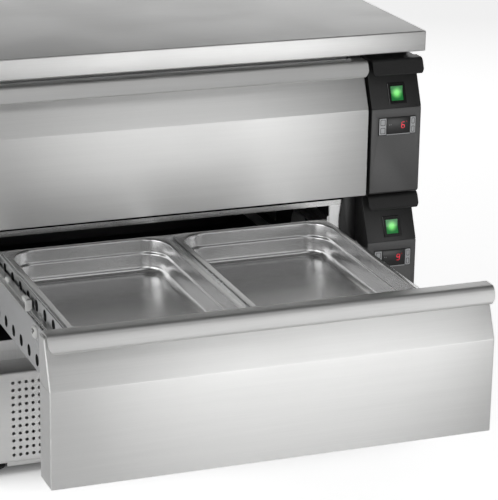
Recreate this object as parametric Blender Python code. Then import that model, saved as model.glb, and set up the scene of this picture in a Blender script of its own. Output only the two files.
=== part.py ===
"""Two-drawer freezer counter: insulated cabinet, telescopic drawers with two pans each, and a machine base.

Metres, +Z up. The origin lies on the floor, in the middle of the counter's plan with its lower drawer open.
Inside the file x is measured from the middle of the drawers and y from the closed drawers' faces.
"""

import math

import bmesh
import bpy
from mathutils import Vector

# Gaps between touching pieces, overrun of cuts, and the sheet that the frames are folded from
FIT = 0.0003
OVERRUN = 0.010
SHEET = 0.002
PANEL_EDGE = 0.0012

# Heights, from the floor up
FOOT_HEIGHT = 0.0262
BASE_HEIGHT = 0.1855
BASE_GAP = 0.0119
DRAWER_HEIGHT = 0.268
DRAWER_GAP = 0.005
TOP_GAP = 0.0154
WORKTOP_THICK = 0.040

# Widths
SIDE_WALL_THICK = 0.0485
MODULE_GAP = 0.007
MODULE_WIDTH = 0.105
WORKTOP_OVERHANG = 0.0045

# Drawer front and its pull
FRONT_THICK = 0.0626
SLANT_HEIGHT = 0.0949
SLANT_DEPTH = 0.0351
FRONT_RABBET = 0.012
LIP_LEG = 0.0296
LIP_DEPTH = 0.045
LIP_NOSE_RADIUS = 0.012
LIP_SHEET = 0.0025
LIP_RETURN = 0.005
LIP_CORNER_RADIUS = 0.010
GASKET_WIDTH = 0.011
GASKET_THICK = 0.0068
GASKET_SIDE_MARGIN = 0.0275
GASKET_MARGIN = 0.010
GASKET_CORNER = 0.014

# Pans, each of one full gastronorm size
PAN_WIDTH = 0.325
PAN_LENGTH = 0.530
PAN_DEPTH = 0.065
PAN_DROP = 0.0423
PAN_SPACING = 0.0103
PAN_RIM = 0.011
PAN_EDGE = 0.003
PAN_SHEET = 0.0012
PAN_RIM_RADIUS = 0.018
PAN_BOWL_RADIUS = 0.050
PAN_FLOOR_RADIUS = 0.040
PAN_FILLET = 0.014
PAN_SHOULDER_DROP = 0.025
PAN_SHOULDER = 0.002
PAN_DRAFT = 0.004

# Drawer sides and the frame that carries the pans
PAN_CLEARANCE = 0.00185
REAR_MARGIN = 0.0071
SEAT_WIDTH = 0.0125
LEDGE_DROP = 0.0363
LEDGE_WIDTH = 0.011
SIDE_BEND = 0.006
SIDE_SKIRT = 0.0914
SIDE_TAB = 0.015
HOLE_RADIUS = 0.011
UPPER_HOLE_RISE = 0.016
UPPER_HOLE_START = 0.1610
UPPER_HOLE_END = 0.0521
UPPER_HOLE_COUNT = 7
LOWER_HOLE_RISE = 0.020
LOWER_HOLE_START = 0.2304
LOWER_HOLE_END = 0.0417
LOWER_HOLE_COUNT = 6
FRAME_LEG = 0.014
DIVIDER_WIDTH = 0.030
LEDGE_DEPTH = 0.010
REAR_RAIL_DEPTH = 0.016

# Telescopic slides
DRAWER_TRAVEL = 0.571
MIDDLE_SHARE = 0.5
SLIDE_CLEARANCE = 0.0028
SLIDE_WIDTH = 0.0122
SLIDE_HEIGHT = 0.0147
SLIDE_FLANGE = 0.0015
SLIDE_WEB = 0.0016
SLIDE_REAR_GAP = 0.040
TONGUE_THICK = 0.0026
TONGUE_PLAY = 0.0006
RAIL_THICK = 0.0064
RAIL_PLATE = 0.0032
RAIL_RISE = 0.010
RAIL_TONGUE = 0.0091
END_CAP = 0.006
BUFFER_RADIUS = 0.011
BUFFER_RISE = 0.0068
BUFFER_WIDTH = 0.004
BUFFER_SETBACK = 0.135

# Insulated cabinet
CABINET_FACE = 0.070
CAVITY_SILL = 0.0281
CAVITY_HEAD = 0.0319
DUCT_WALL_THICK = 0.040
BACK_WALL_THICK = 0.060
REAR_CLEARANCE = 0.040
FLOOR_RAIL_HEIGHT = 0.0179
FLOOR_RAIL_PROUD = 0.0015

# Air holes in the duct wall
FAN_HOLE_RADIUS = 0.063
FAN_HOLE_SETBACK = 0.140
RETURN_SETBACK = 0.285
RETURN_REAR_MARGIN = 0.085
RETURN_SLOT = 0.026
RETURN_PITCH = 0.042
RETURN_COUNT = 3

# Evaporators and their fans
COIL_OVERLAP = 0.025
COIL_DEPTH = 0.066
COIL_HEIGHT = 0.150
COIL_SPINE = 0.012
COIL_FIN = 0.006
COIL_FIN_COUNT = 10
COIL_PLATE_MARGIN = 0.014
MOTOR_RADIUS = 0.026
MOTOR_LENGTH = 0.034
MOTOR_ARM = 0.010
SHAFT_RADIUS = 0.004
FAN_RADIUS = 0.058
FAN_HUB_RADIUS = 0.020
FAN_HUB_LENGTH = 0.016
FAN_BLADE = 0.003
FAN_BLADE_COUNT = 5
FAN_RISE_SHARE = 0.35
FAN_CHORD_SHARE = 1.6
FAN_ROOT_PITCH = math.radians(50)
FAN_PITCH_FALL = math.radians(22)
FAN_SETBACK = 0.010

# Machine base
BASE_FLANGE_WIDTH = 0.042
BASE_REAR_UPSTAND = 0.060
BASE_HEM = 0.012
HOLE_FIELD_START = 0.0875
PERFORATION_RADIUS = 0.00315
PERFORATION_PITCH_X = 0.01305
PERFORATION_PITCH_Z = 0.01483
PERFORATION_TOP = 0.0212
PERFORATION_COLUMNS = 5
PERFORATION_ROWS = 11
FOOT_RADIUS = 0.025
FOOT_STEM_RADIUS = 0.010
FOOT_PAD = 0.008
FOOT_PLATE_RADIUS = 0.020
FOOT_PLATE = 0.004
FOOT_INSET = 0.060

# Condensing unit
CONDENSER_LEFT = 0.110
CONDENSER_WIDTH = 0.280
CONDENSER_DEPTH = 0.040
CONDENSER_HEIGHT = 0.160
CONDENSER_SETBACK = 0.072
CONDENSER_FIN = 0.008
CONDENSER_FIN_COUNT = 11
SHROUD_RADIUS = 0.062
SHROUD_WALL = 0.004
SHROUD_LENGTH = 0.034
COMPRESSOR_LEFT = 0.720
COMPRESSOR_BACK = 0.280
COMPRESSOR_RADIUS = 0.075
COMPRESSOR_HEIGHT = 0.150
COMPRESSOR_STRETCH_SHARE = 1.28
COMPRESSOR_SEAM_SHARE = 0.45
COMPRESSOR_LOWER_SHARES = ((0.72, 0.013), (0.95, 0.14), (1.0, COMPRESSOR_SEAM_SHARE))
COMPRESSOR_UPPER_SHARES = ((0.93, 0.80), (0.66, 0.95))
COMPRESSOR_PLATE = 0.004
COMPRESSOR_PLATE_MARGIN = 0.010
COMPRESSOR_BOX_WIDTH = 0.046
COMPRESSOR_BOX_HEIGHT = 0.050
COMPRESSOR_BOX_DEPTH = 0.030
INLET_RIGHT = 0.070
INLET_WIDTH = 0.048
INLET_HEIGHT = 0.030
INLET_BODY_WIDTH = 0.028
INLET_BODY_HEIGHT = 0.020
INLET_DEPTH = 0.026
INLET_WALL = 0.0022
INLET_PIN = 0.004
INLET_PIN_PITCH = 0.007

# Control modules
HOUSING_WALL = 0.003
HOUSING_TRIM = 0.0331
HOUSING_TRIM_THICK = 0.0047
NOSE_INSET = 0.003
PLATE_THICK = 0.003
PLATE_FOOT = 0.0036
CONTROLLER_WIDTH = 0.0796
CONTROLLER_HEIGHT = 0.0351
CONTROLLER_LEFT = 0.0148
CONTROLLER_DROP = 0.0182
CONTROLLER_PROUD = 0.0015
CONTROLLER_DEPTH = 0.030
CONTROLLER_FRAME = 0.001
CONTROLLER_SCREEN_DEPTH = 0.0008
LEFT_KEY_WIDTH = 0.0153
RIGHT_KEY_WIDTH = 0.0109
KEY_THICK = 0.0026
KEY_POCKET = 0.0045
KEY_TRAVEL = 0.0008
BEZEL_WIDTH = 0.0369
BEZEL_LENGTH = 0.0422
BEZEL_THICK = 0.0025
BEZEL_RISE = 0.0292
BEZEL_LEFT = 0.0375
SWITCH_BODY_MARGIN = 0.003
SWITCH_BODY_DEPTH = 0.024
SWITCH_FRAME = 0.0055
SWITCH_POCKET = 0.012
ROCKER_END_GAP = 0.0015
ROCKER_THICK = 0.0058
ROCKER_PIVOT_DEPTH = 0.0015
ROCKER_BACK_SHARE = 0.85
ROCKER_TILT = math.radians(7)

# Heights and places that follow from the sizes above
BASE_TOP = FOOT_HEIGHT + BASE_HEIGHT
LOWER_LEVEL = BASE_TOP + BASE_GAP
UPPER_LEVEL = LOWER_LEVEL + DRAWER_HEIGHT + DRAWER_GAP
WORKTOP_UNDER = UPPER_LEVEL + DRAWER_HEIGHT + TOP_GAP
CABINET_FOOT = BASE_TOP + FIT
CABINET_TOP = WORKTOP_UNDER - FIT
SIDE_X = PAN_SPACING / 2 + PAN_WIDTH + PAN_CLEARANCE + SHEET
SLIDE_X = SIDE_X + SLIDE_CLEARANCE
CAVITY_X = SLIDE_X + SLIDE_WIDTH + RAIL_THICK + 2 * FIT
DUCT_X = CAVITY_X + DUCT_WALL_THICK
HALF_DRAWER = CAVITY_X + SIDE_WALL_THICK
MODULE_LEFT = HALF_DRAWER + MODULE_GAP
MODULE_RIGHT = MODULE_LEFT + MODULE_WIDTH
DRAWER_BACK = FRONT_THICK + FIT
DRAWER_LENGTH = DRAWER_BACK + PAN_LENGTH + REAR_MARGIN
CAVITY_BACK = DRAWER_LENGTH + REAR_CLEARANCE
COUNTER_DEPTH = CAVITY_BACK + BACK_WALL_THICK
RETURN_LENGTH = CAVITY_BACK - RETURN_REAR_MARGIN - CABINET_FACE - RETURN_SETBACK
COIL_LENGTH = RETURN_LENGTH + 2 * COIL_OVERLAP
CENTRE_X = -(MODULE_GAP + MODULE_WIDTH) / 2
FRONT_Y = (DRAWER_TRAVEL - COUNTER_DEPTH) / 2
FRONT_TOP = DRAWER_HEIGHT - FRONT_RABBET
CREASE_HEIGHT = DRAWER_HEIGHT - SLANT_HEIGHT
LIP_FOOT = DRAWER_HEIGHT - LIP_LEG
PAN_TOP = DRAWER_HEIGHT - PAN_DROP
SEAT_TOP = PAN_TOP - PAN_EDGE - FIT
LEDGE_HEIGHT = PAN_TOP - LEDGE_DROP
SIDE_BOTTOM = LEDGE_HEIGHT - SIDE_SKIRT
UPPER_HOLE_HEIGHT = LEDGE_HEIGHT + UPPER_HOLE_RISE
LOWER_HOLE_HEIGHT = SIDE_BOTTOM + LOWER_HOLE_RISE
SIDE_LENGTH = DRAWER_LENGTH - DRAWER_BACK
UPPER_HOLE_PITCH = (SIDE_LENGTH - UPPER_HOLE_START - UPPER_HOLE_END) / (UPPER_HOLE_COUNT - 1)
LOWER_HOLE_PITCH = (SIDE_LENGTH - LOWER_HOLE_START - LOWER_HOLE_END) / (LOWER_HOLE_COUNT - 1)
SLIDE_BOTTOM = LEDGE_HEIGHT + FIT
SLIDE_TOP = SLIDE_BOTTOM + SLIDE_HEIGHT
CAVITY_MIDDLE = (CAVITY_SILL + DRAWER_HEIGHT - CAVITY_HEAD) / 2
SLANT_ANGLE = math.atan2(SLANT_DEPTH, FRONT_TOP - CREASE_HEIGHT)
TRAY_FLOOR = FOOT_HEIGHT + SHEET + FIT
FACES_PER_TURN = 24
LEVELS = {"lower": LOWER_LEVEL, "upper": UPPER_LEVEL}
SIDES = {"left": -1, "right": 1}

FINISHES = {
    "stainless": ((0.72, 0.72, 0.71), 0.32, 1.0),
    "bright_stainless": ((0.80, 0.80, 0.79), 0.20, 1.0),
    "galvanised": ((0.55, 0.56, 0.57), 0.45, 1.0),
    "slide_steel": ((0.62, 0.63, 0.64), 0.30, 1.0),
    "aluminium": ((0.70, 0.71, 0.72), 0.40, 1.0),
    "black_plastic": ((0.022, 0.022, 0.023), 0.42, 0.0),
    "anthracite": ((0.09, 0.09, 0.095), 0.50, 0.0),
    "key_grey": ((0.55, 0.57, 0.58), 0.45, 0.0),
    "switch_green": ((0.10, 0.75, 0.22), 0.30, 0.0),
    "gasket_grey": ((0.16, 0.16, 0.17), 0.60, 0.0),
    "rubber": ((0.03, 0.03, 0.03), 0.75, 0.0),
    "compressor_black": ((0.03, 0.03, 0.032), 0.35, 0.0),
}


def clear_scene():
    for obj in list(bpy.data.objects):
        bpy.data.objects.remove(obj, do_unlink=True)


def finish(name):
    """The material of this name, made on first use."""
    found = bpy.data.materials.get(name)
    if found:
        return found
    colour, roughness, metallic = FINISHES[name]
    made = bpy.data.materials.new(name)
    made.use_nodes = True
    shader = made.node_tree.nodes["Principled BSDF"]
    shader.inputs["Base Color"].default_value = (*colour, 1)
    shader.inputs["Roughness"].default_value = roughness
    shader.inputs["Metallic"].default_value = metallic
    return made


def frame_at(name, location, parent=None, tilt=0.0):
    """An empty that carries pieces: the frame of an assembly or of a joint."""
    empty = bpy.data.objects.new(name, None)
    bpy.context.scene.collection.objects.link(empty)
    empty.location = location
    empty.rotation_euler.x = tilt
    empty.parent = parent
    return empty


def add(name, shape, parent, finish_name, location=(0, 0, 0)):
    """A named sub-part from a bmesh, in its parent's frame."""
    mesh = bpy.data.meshes.new(name)
    bmesh.ops.recalc_face_normals(shape, faces=shape.faces)
    shape.to_mesh(mesh)
    shape.free()
    obj = bpy.data.objects.new(name, mesh)
    bpy.context.scene.collection.objects.link(obj)
    obj.parent = parent
    obj.location = location
    mesh.shade_smooth()
    mesh.set_sharp_from_angle(angle=math.radians(35))
    if finish_name:
        mesh.materials.append(finish(finish_name))
    return obj


def soften(obj, width, segments=1):
    bevel = obj.modifiers.new("edges", "BEVEL")
    bevel.width = width
    bevel.segments = segments
    bevel.limit_method = "ANGLE"
    bevel.angle_limit = math.radians(40)
    bevel.use_clamp_overlap = True


def combine(obj, label, shape, operation):
    """A Boolean with a hidden helper, which is returned."""
    helper = add(f"{obj.name}_{label}", shape, obj.parent, None, obj.location)
    helper.hide_render = True
    helper.display_type = "WIRE"
    modifier = obj.modifiers.new(label, "BOOLEAN")
    modifier.operation = operation
    modifier.solver = "EXACT"
    modifier.object = helper
    return helper


def cut(obj, label, shape):
    combine(obj, label, shape, "DIFFERENCE")


def fuse(obj, label, shape):
    return combine(obj, label, shape, "UNION")


def keep_within(obj, label, shape):
    combine(obj, label, shape, "INTERSECT")


def joined(*shapes):
    """One bmesh holding the given ones, which don't touch each other."""
    whole = bmesh.new()
    for shape in shapes:
        piece = bpy.data.meshes.new("piece")
        bmesh.ops.recalc_face_normals(shape, faces=shape.faces)
        shape.to_mesh(piece)
        shape.free()
        whole.from_mesh(piece)
        bpy.data.meshes.remove(piece)
    return whole


def along(axis, across, height):
    """The point at a height on the axis, with its two other coordinates in order."""
    point = list(across)
    point.insert("xyz".index(axis), height)
    return point


def prism(outline, axis, low, high):
    """A closed outline in the two other axes, extruded along this axis."""
    shape = bmesh.new()
    corners = [shape.verts.new(along(axis, point, low)) for point in outline]
    base = shape.faces.new(corners)
    grown = bmesh.ops.extrude_face_region(shape, geom=[base])
    tops = [item for item in grown["geom"] if isinstance(item, bmesh.types.BMVert)]
    bmesh.ops.translate(shape, verts=tops, vec=Vector(along(axis, (0, 0), high - low)))
    return shape


def rectangle(low, high):
    return [low, (high[0], low[1]), high, (low[0], high[1])]


def box(low, high):
    return prism(rectangle(low[:2], high[:2]), "z", low[2], high[2])


def circle(centre, radius, sides=FACES_PER_TURN):
    turns = [2 * math.pi * (step + 0.5) / sides for step in range(sides)]
    return [(centre[0] + radius * math.cos(turn), centre[1] + radius * math.sin(turn)) for turn in turns]


def arc_corner(before, corner, after, radius, steps):
    """The points of a rounded corner."""
    to_before = (Vector(before) - Vector(corner)).normalized()
    to_after = (Vector(after) - Vector(corner)).normalized()
    half = to_before.angle(to_after) / 2
    if radius <= 0 or math.pi / 2 - half < math.radians(1):
        return [corner]
    middle = Vector(corner) + (to_before + to_after).normalized() * (radius / math.sin(half))
    start = Vector(corner) + to_before * (radius / math.tan(half)) - middle
    end = Vector(corner) + to_after * (radius / math.tan(half)) - middle
    swing = start.angle_signed(end)
    points = []
    for step in range(steps + 1):
        turn = -swing * step / steps
        x = start.x * math.cos(turn) - start.y * math.sin(turn)
        y = start.x * math.sin(turn) + start.y * math.cos(turn)
        points.append((middle.x + x, middle.y + y))
    return points


def rounded(outline, radii, steps=3):
    """The closed outline with each corner rounded to its radius; one radius serves them all."""
    if not isinstance(radii, (list, tuple)):
        radii = [radii] * len(outline)
    points = []
    for index, corner in enumerate(outline):
        after = outline[(index + 1) % len(outline)]
        points += arc_corner(outline[index - 1], corner, after, radii[index], steps)
    return points


def folded_sheet(path, thickness, radius, steps=2):
    """A closed outline: the path, its offset to the left, and both sides of each bend rounded."""
    ends = [path[0]] + list(path) + [path[-1]]
    other = []
    near_radii = [0]
    far_radii = [0]
    for index in range(1, len(path) - 1):
        before, corner, after = (Vector(point) for point in path[index - 1:index + 2])
        left_turn = (corner - before).cross(after - corner) > 0
        near_radii.append(radius + thickness if left_turn else radius)
        far_radii.append(radius if left_turn else radius + thickness)
    near_radii.append(0)
    far_radii.append(0)
    for index in range(1, len(ends) - 1):
        runs = []
        if index > 1:
            runs.append(Vector(ends[index]) - Vector(ends[index - 1]))
        if index < len(ends) - 2:
            runs.append(Vector(ends[index + 1]) - Vector(ends[index]))
        normals = [Vector((-run.y, run.x)).normalized() for run in runs]
        lean = sum(normals, Vector((0, 0))).normalized()
        other.append(tuple(Vector(ends[index]) + lean * (thickness / lean.dot(normals[0]))))
    outline = list(path) + other[::-1]
    return rounded(outline, near_radii + far_radii[::-1], steps)


def mirrored(outline, side):
    return [(side * x, z) for x, z in outline]


def turned(profile, sides=FACES_PER_TURN):
    """A profile of (radius, height) points turned about +Z; its first and last points lie on the axis."""
    shape = bmesh.new()
    points = [shape.verts.new((radius, 0, height)) for radius, height in profile]
    edges = [shape.edges.new(pair) for pair in zip(points, points[1:])]
    bmesh.ops.spin(
        shape,
        geom=points + edges,
        axis=(0, 0, 1),
        cent=(0, 0, 0),
        angle=2 * math.pi,
        steps=sides,
        use_merge=True,
    )
    bmesh.ops.remove_doubles(shape, verts=shape.verts, dist=FIT / 10)
    return shape


def rod(axis, centre, radius, low, high, sides=FACES_PER_TURN):
    return prism(circle(centre, radius, sides), axis, low, high)


def rounded_loop(half_x, half_y, radius, steps=3):
    corners = [(-half_x, -half_y), (half_x, -half_y), (half_x, half_y), (-half_x, half_y)]
    return rounded(corners, radius, steps)


def lofted(rings):
    """A solid through rings of equally many points, closed at both ends."""
    shape = bmesh.new()
    rows = [[shape.verts.new(point) for point in ring] for ring in rings]
    for lower, upper in zip(rows, rows[1:]):
        for index in range(len(lower)):
            after = (index + 1) % len(lower)
            shape.faces.new((lower[index], lower[after], upper[after], upper[index]))
    shape.faces.new(rows[0][::-1])
    shape.faces.new(rows[-1])
    return shape


def add_worktop(cabinet):
    low = (-HALF_DRAWER - WORKTOP_OVERHANG, 0, WORKTOP_UNDER)
    high = (MODULE_RIGHT + WORKTOP_OVERHANG, COUNTER_DEPTH, WORKTOP_UNDER + WORKTOP_THICK)
    soften(add("worktop", box(low, high), cabinet, "stainless"), PANEL_EDGE, 2)


def add_walls(cabinet):
    left = box((-HALF_DRAWER, CABINET_FACE, CABINET_FOOT), (-CAVITY_X, CAVITY_BACK, CABINET_TOP))
    soften(add("left_wall", left, cabinet, "stainless"), PANEL_EDGE)
    back_low = (-HALF_DRAWER, CAVITY_BACK + FIT, CABINET_FOOT)
    back = box(back_low, (DUCT_X, COUNTER_DEPTH, CABINET_TOP))
    soften(add("back_wall", back, cabinet, "stainless"), PANEL_EDGE)
    inner = CAVITY_X - FIT
    head = DRAWER_HEIGHT - CAVITY_HEAD
    slabs = {
        "middle_shelf": (LOWER_LEVEL + head, UPPER_LEVEL + CAVITY_SILL),
        "ceiling_panel": (UPPER_LEVEL + head, CABINET_TOP),
    }
    for name, (under, top) in slabs.items():
        slab = box((-inner, CABINET_FACE, under), (inner, CAVITY_BACK, top))
        soften(add(name, slab, cabinet, "stainless"), PANEL_EDGE)


def add_cavity_floor(cabinet):
    """The insulated floor, with the rail along the foot of its front edge."""
    inner = CAVITY_X - FIT
    rail_top = BASE_TOP + FLOOR_RAIL_HEIGHT
    outline = [
        (CABINET_FACE - FLOOR_RAIL_PROUD, CABINET_FOOT),
        (CAVITY_BACK, CABINET_FOOT),
        (CAVITY_BACK, LOWER_LEVEL + CAVITY_SILL),
        (CABINET_FACE, LOWER_LEVEL + CAVITY_SILL),
        (CABINET_FACE, rail_top),
        (CABINET_FACE - FLOOR_RAIL_PROUD, rail_top),
    ]
    add("cavity_floor", prism(outline, "x", -inner, inner), cabinet, "stainless")


def add_duct_wall(cabinet):
    """The wall between the cavities and the air duct, with a fan hole and return slots for each cavity."""
    low = (CAVITY_X, CABINET_FACE, CABINET_FOOT)
    wall = add("duct_wall", box(low, (DUCT_X, CAVITY_BACK, CABINET_TOP)), cabinet, "stainless")
    soften(wall, PANEL_EDGE)
    for name, level in LEVELS.items():
        middle = level + CAVITY_MIDDLE
        hole = (CABINET_FACE + FAN_HOLE_SETBACK, middle)
        start = CABINET_FACE + RETURN_SETBACK
        cutters = [rod("x", hole, FAN_HOLE_RADIUS, CAVITY_X - OVERRUN, DUCT_X + OVERRUN)]
        for index in range(RETURN_COUNT):
            slot_middle = middle + RETURN_PITCH * (index - (RETURN_COUNT - 1) / 2)
            slot_low = (CAVITY_X - OVERRUN, start, slot_middle - RETURN_SLOT / 2)
            slot_high = (DUCT_X + OVERRUN, start + RETURN_LENGTH, slot_middle + RETURN_SLOT / 2)
            cutters.append(box(slot_low, slot_high))
        cut(wall, f"{name}_air_holes", joined(*cutters))


def add_duct_cover(cabinet):
    """The right side panel and its return across the back of the duct."""
    path = [
        (MODULE_RIGHT, CABINET_FACE + FIT),
        (MODULE_RIGHT, COUNTER_DEPTH),
        (DUCT_X + FIT, COUNTER_DEPTH),
    ]
    outline = folded_sheet(path, SHEET, SHEET)
    add("duct_cover", prism(outline, "z", CABINET_FOOT, CABINET_TOP), cabinet, "stainless")


def add_base_front(cabinet):
    """The machine compartment's front, folded back at its top and foot, with air holes at each side."""
    path = [
        (CABINET_FACE - FLOOR_RAIL_PROUD - FIT, BASE_TOP),
        (0, BASE_TOP),
        (0, FOOT_HEIGHT + FIT),
        (BASE_HEM, FOOT_HEIGHT + FIT),
    ]
    outline = folded_sheet(path, SHEET, SHEET)
    front = add("base_front", prism(outline, "x", -HALF_DRAWER, MODULE_RIGHT), cabinet, "stainless")
    last = (PERFORATION_COLUMNS - 1) * PERFORATION_PITCH_X
    starts = (-HALF_DRAWER + HOLE_FIELD_START, MODULE_RIGHT - HOLE_FIELD_START - last)
    holes = []
    for start in starts:
        for column in range(PERFORATION_COLUMNS):
            for row in range(PERFORATION_ROWS):
                x = start + column * PERFORATION_PITCH_X
                z = BASE_TOP - PERFORATION_TOP - row * PERFORATION_PITCH_Z
                holes.append(rod("y", (x, z), PERFORATION_RADIUS, -OVERRUN, OVERRUN, 6))
    cut(front, "perforations", joined(*holes))


def add_base_tray(cabinet):
    """The machine compartment's floor and sides, with the flanges that carry the cabinet."""
    start = SHEET + BASE_HEM + FIT
    path = [
        (-HALF_DRAWER + BASE_FLANGE_WIDTH, BASE_TOP),
        (-HALF_DRAWER, BASE_TOP),
        (-HALF_DRAWER, FOOT_HEIGHT),
        (MODULE_RIGHT, FOOT_HEIGHT),
        (MODULE_RIGHT, BASE_TOP),
        (MODULE_RIGHT - BASE_FLANGE_WIDTH, BASE_TOP),
    ]
    outline = folded_sheet(path, SHEET, SHEET)
    tray = add("base_tray", prism(outline, "y", start, COUNTER_DEPTH), cabinet, "galvanised")
    notch_low = (-HALF_DRAWER - OVERRUN, start - OVERRUN, BASE_TOP - SHEET - FIT)
    notch_high = (MODULE_RIGHT + OVERRUN, CABINET_FACE - FLOOR_RAIL_PROUD, BASE_TOP + OVERRUN)
    cut(tray, "front_notch", box(notch_low, notch_high))
    inner_left = -HALF_DRAWER + SHEET / 2
    inner_right = MODULE_RIGHT - SHEET / 2
    upstand_low = (inner_left, COUNTER_DEPTH - SHEET, FOOT_HEIGHT + SHEET / 2)
    upstand = box(upstand_low, (inner_right, COUNTER_DEPTH, FOOT_HEIGHT + BASE_REAR_UPSTAND))
    fuse(tray, "rear_upstand", upstand)
    rail_low = (inner_left, COUNTER_DEPTH - BASE_FLANGE_WIDTH, BASE_TOP - SHEET)
    fuse(tray, "rear_rail", box(rail_low, (inner_right, COUNTER_DEPTH, BASE_TOP)))
    middle = inlet_middle()
    half_width = INLET_BODY_WIDTH / 2 + FIT
    half_height = INLET_BODY_HEIGHT / 2 + FIT
    hole_low = (middle[0] - half_width, COUNTER_DEPTH - OVERRUN, middle[1] - half_height)
    hole_high = (middle[0] + half_width, COUNTER_DEPTH + OVERRUN, middle[1] + half_height)
    cut(tray, "inlet_hole", box(hole_low, hole_high))


def inlet_middle():
    return MODULE_RIGHT - INLET_RIGHT, FOOT_HEIGHT + (SHEET + BASE_REAR_UPSTAND) / 2


def add_mains_inlet(cabinet):
    """The supply socket: a flange inside the tray's upstand and a body through its hole."""
    x, z = inlet_middle()
    half_width = INLET_BODY_WIDTH / 2
    half_height = INLET_BODY_HEIGHT / 2
    inside = COUNTER_DEPTH - SHEET - FIT
    flange_low = (x - INLET_WIDTH / 2, inside - INLET_WALL, z - INLET_HEIGHT / 2)
    flange_high = (x + INLET_WIDTH / 2, inside, z + INLET_HEIGHT / 2)
    inlet = add("mains_inlet", box(flange_low, flange_high), cabinet, "black_plastic")
    body_low = (x - half_width, inside - INLET_DEPTH, z - half_height)
    body_high = (x + half_width, COUNTER_DEPTH, z + half_height)
    fuse(inlet, "body", box(body_low, body_high))
    well_low = (body_low[0] + INLET_WALL, inside - INLET_DEPTH + INLET_WALL, body_low[2] + INLET_WALL)
    well_high = (body_high[0] - INLET_WALL, COUNTER_DEPTH + OVERRUN, body_high[2] - INLET_WALL)
    cut(inlet, "well", box(well_low, well_high))
    pins = []
    for step in (-1, 0, 1):
        pin_x = x + step * INLET_PIN_PITCH
        pin_low = (pin_x - INLET_PIN / 4, well_low[1] - INLET_WALL / 2, z - INLET_PIN / 2)
        pin_high = (pin_x + INLET_PIN / 4, COUNTER_DEPTH - INLET_WALL, z + INLET_PIN / 2)
        pins.append(box(pin_low, pin_high))
    fuse(inlet, "pins", joined(*pins))


def add_feet(cabinet):
    top = FOOT_HEIGHT - FIT
    profile = [
        (0, 0),
        (FOOT_RADIUS, 0),
        (FOOT_RADIUS, FOOT_PAD / 2),
        (FOOT_STEM_RADIUS, FOOT_PAD),
        (FOOT_STEM_RADIUS, top - FOOT_PLATE),
        (FOOT_PLATE_RADIUS, top - FOOT_PLATE),
        (FOOT_PLATE_RADIUS, top),
        (0, top),
    ]
    depths = {"front": FOOT_INSET, "rear": COUNTER_DEPTH - FOOT_INSET}
    widths = {"left": -HALF_DRAWER + FOOT_INSET, "right": MODULE_RIGHT - FOOT_INSET}
    for row, y in depths.items():
        for side, x in widths.items():
            add(f"foot_{row}_{side}", turned(profile, 16), cabinet, "rubber", (x, y, 0))


def comb(low, high, spine, fin, count):
    """A fin block's outline: a spine along its far edge, with fins standing towards its near edge."""
    pitch = (high[0] - low[0] - fin) / (count - 1)
    outline = [(low[0], high[1]), (low[0], low[1])]
    for index in range(count):
        start = low[0] + index * pitch
        outline += [(start, low[1])] * (index > 0)
        outline.append((start + fin, low[1]))
        if index < count - 1:
            outline.append((start + fin, high[1] - spine))
            outline.append((start + pitch, high[1] - spine))
    outline.append(high)
    return outline


def fan_blades(radius):
    """Pitched blades that start inside the hub, round +Z, flatter towards their tips."""
    shapes = []
    rise = FAN_HUB_LENGTH * FAN_RISE_SHARE
    for index in range(FAN_BLADE_COUNT):
        turn = 2 * math.pi * index / FAN_BLADE_COUNT
        shape = box((FAN_HUB_RADIUS / 2, -FAN_BLADE / 2, -rise), (radius, FAN_BLADE / 2, rise))
        lengthwise = [edge for edge in shape.edges if abs(edge.verts[0].co.x - edge.verts[1].co.x) > FIT]
        bmesh.ops.subdivide_edges(shape, edges=lengthwise, cuts=2)
        for vert in shape.verts:
            x, y, z = vert.co
            lean = FAN_ROOT_PITCH - FAN_PITCH_FALL * x / radius
            across = y * math.cos(lean) + z * math.sin(lean) * FAN_CHORD_SHARE
            height = z * math.cos(lean) - y * math.sin(lean)
            vert.co.x = x * math.cos(turn) - across * math.sin(turn)
            vert.co.y = x * math.sin(turn) + across * math.cos(turn)
            vert.co.z = height
        shapes.append(shape)
    return shapes


def add_fan(name, parent, location, radius, axis):
    """A fan wheel whose hub turns about the given axis."""
    hub = rod("z", (0, 0), FAN_HUB_RADIUS, -FAN_HUB_LENGTH / 2, FAN_HUB_LENGTH / 2, 15)
    fan = add(name, hub, parent, "black_plastic", location)
    tilts = {"x": (0, math.pi / 2, 0), "y": (-math.pi / 2, 0, 0)}
    fan.rotation_euler = tilts[axis]
    for index, blade in enumerate(fan_blades(radius)):
        fuse(fan, f"blade_{index + 1}", blade)
    for modifier in fan.modifiers:
        modifier.object.rotation_euler = fan.rotation_euler


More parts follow.
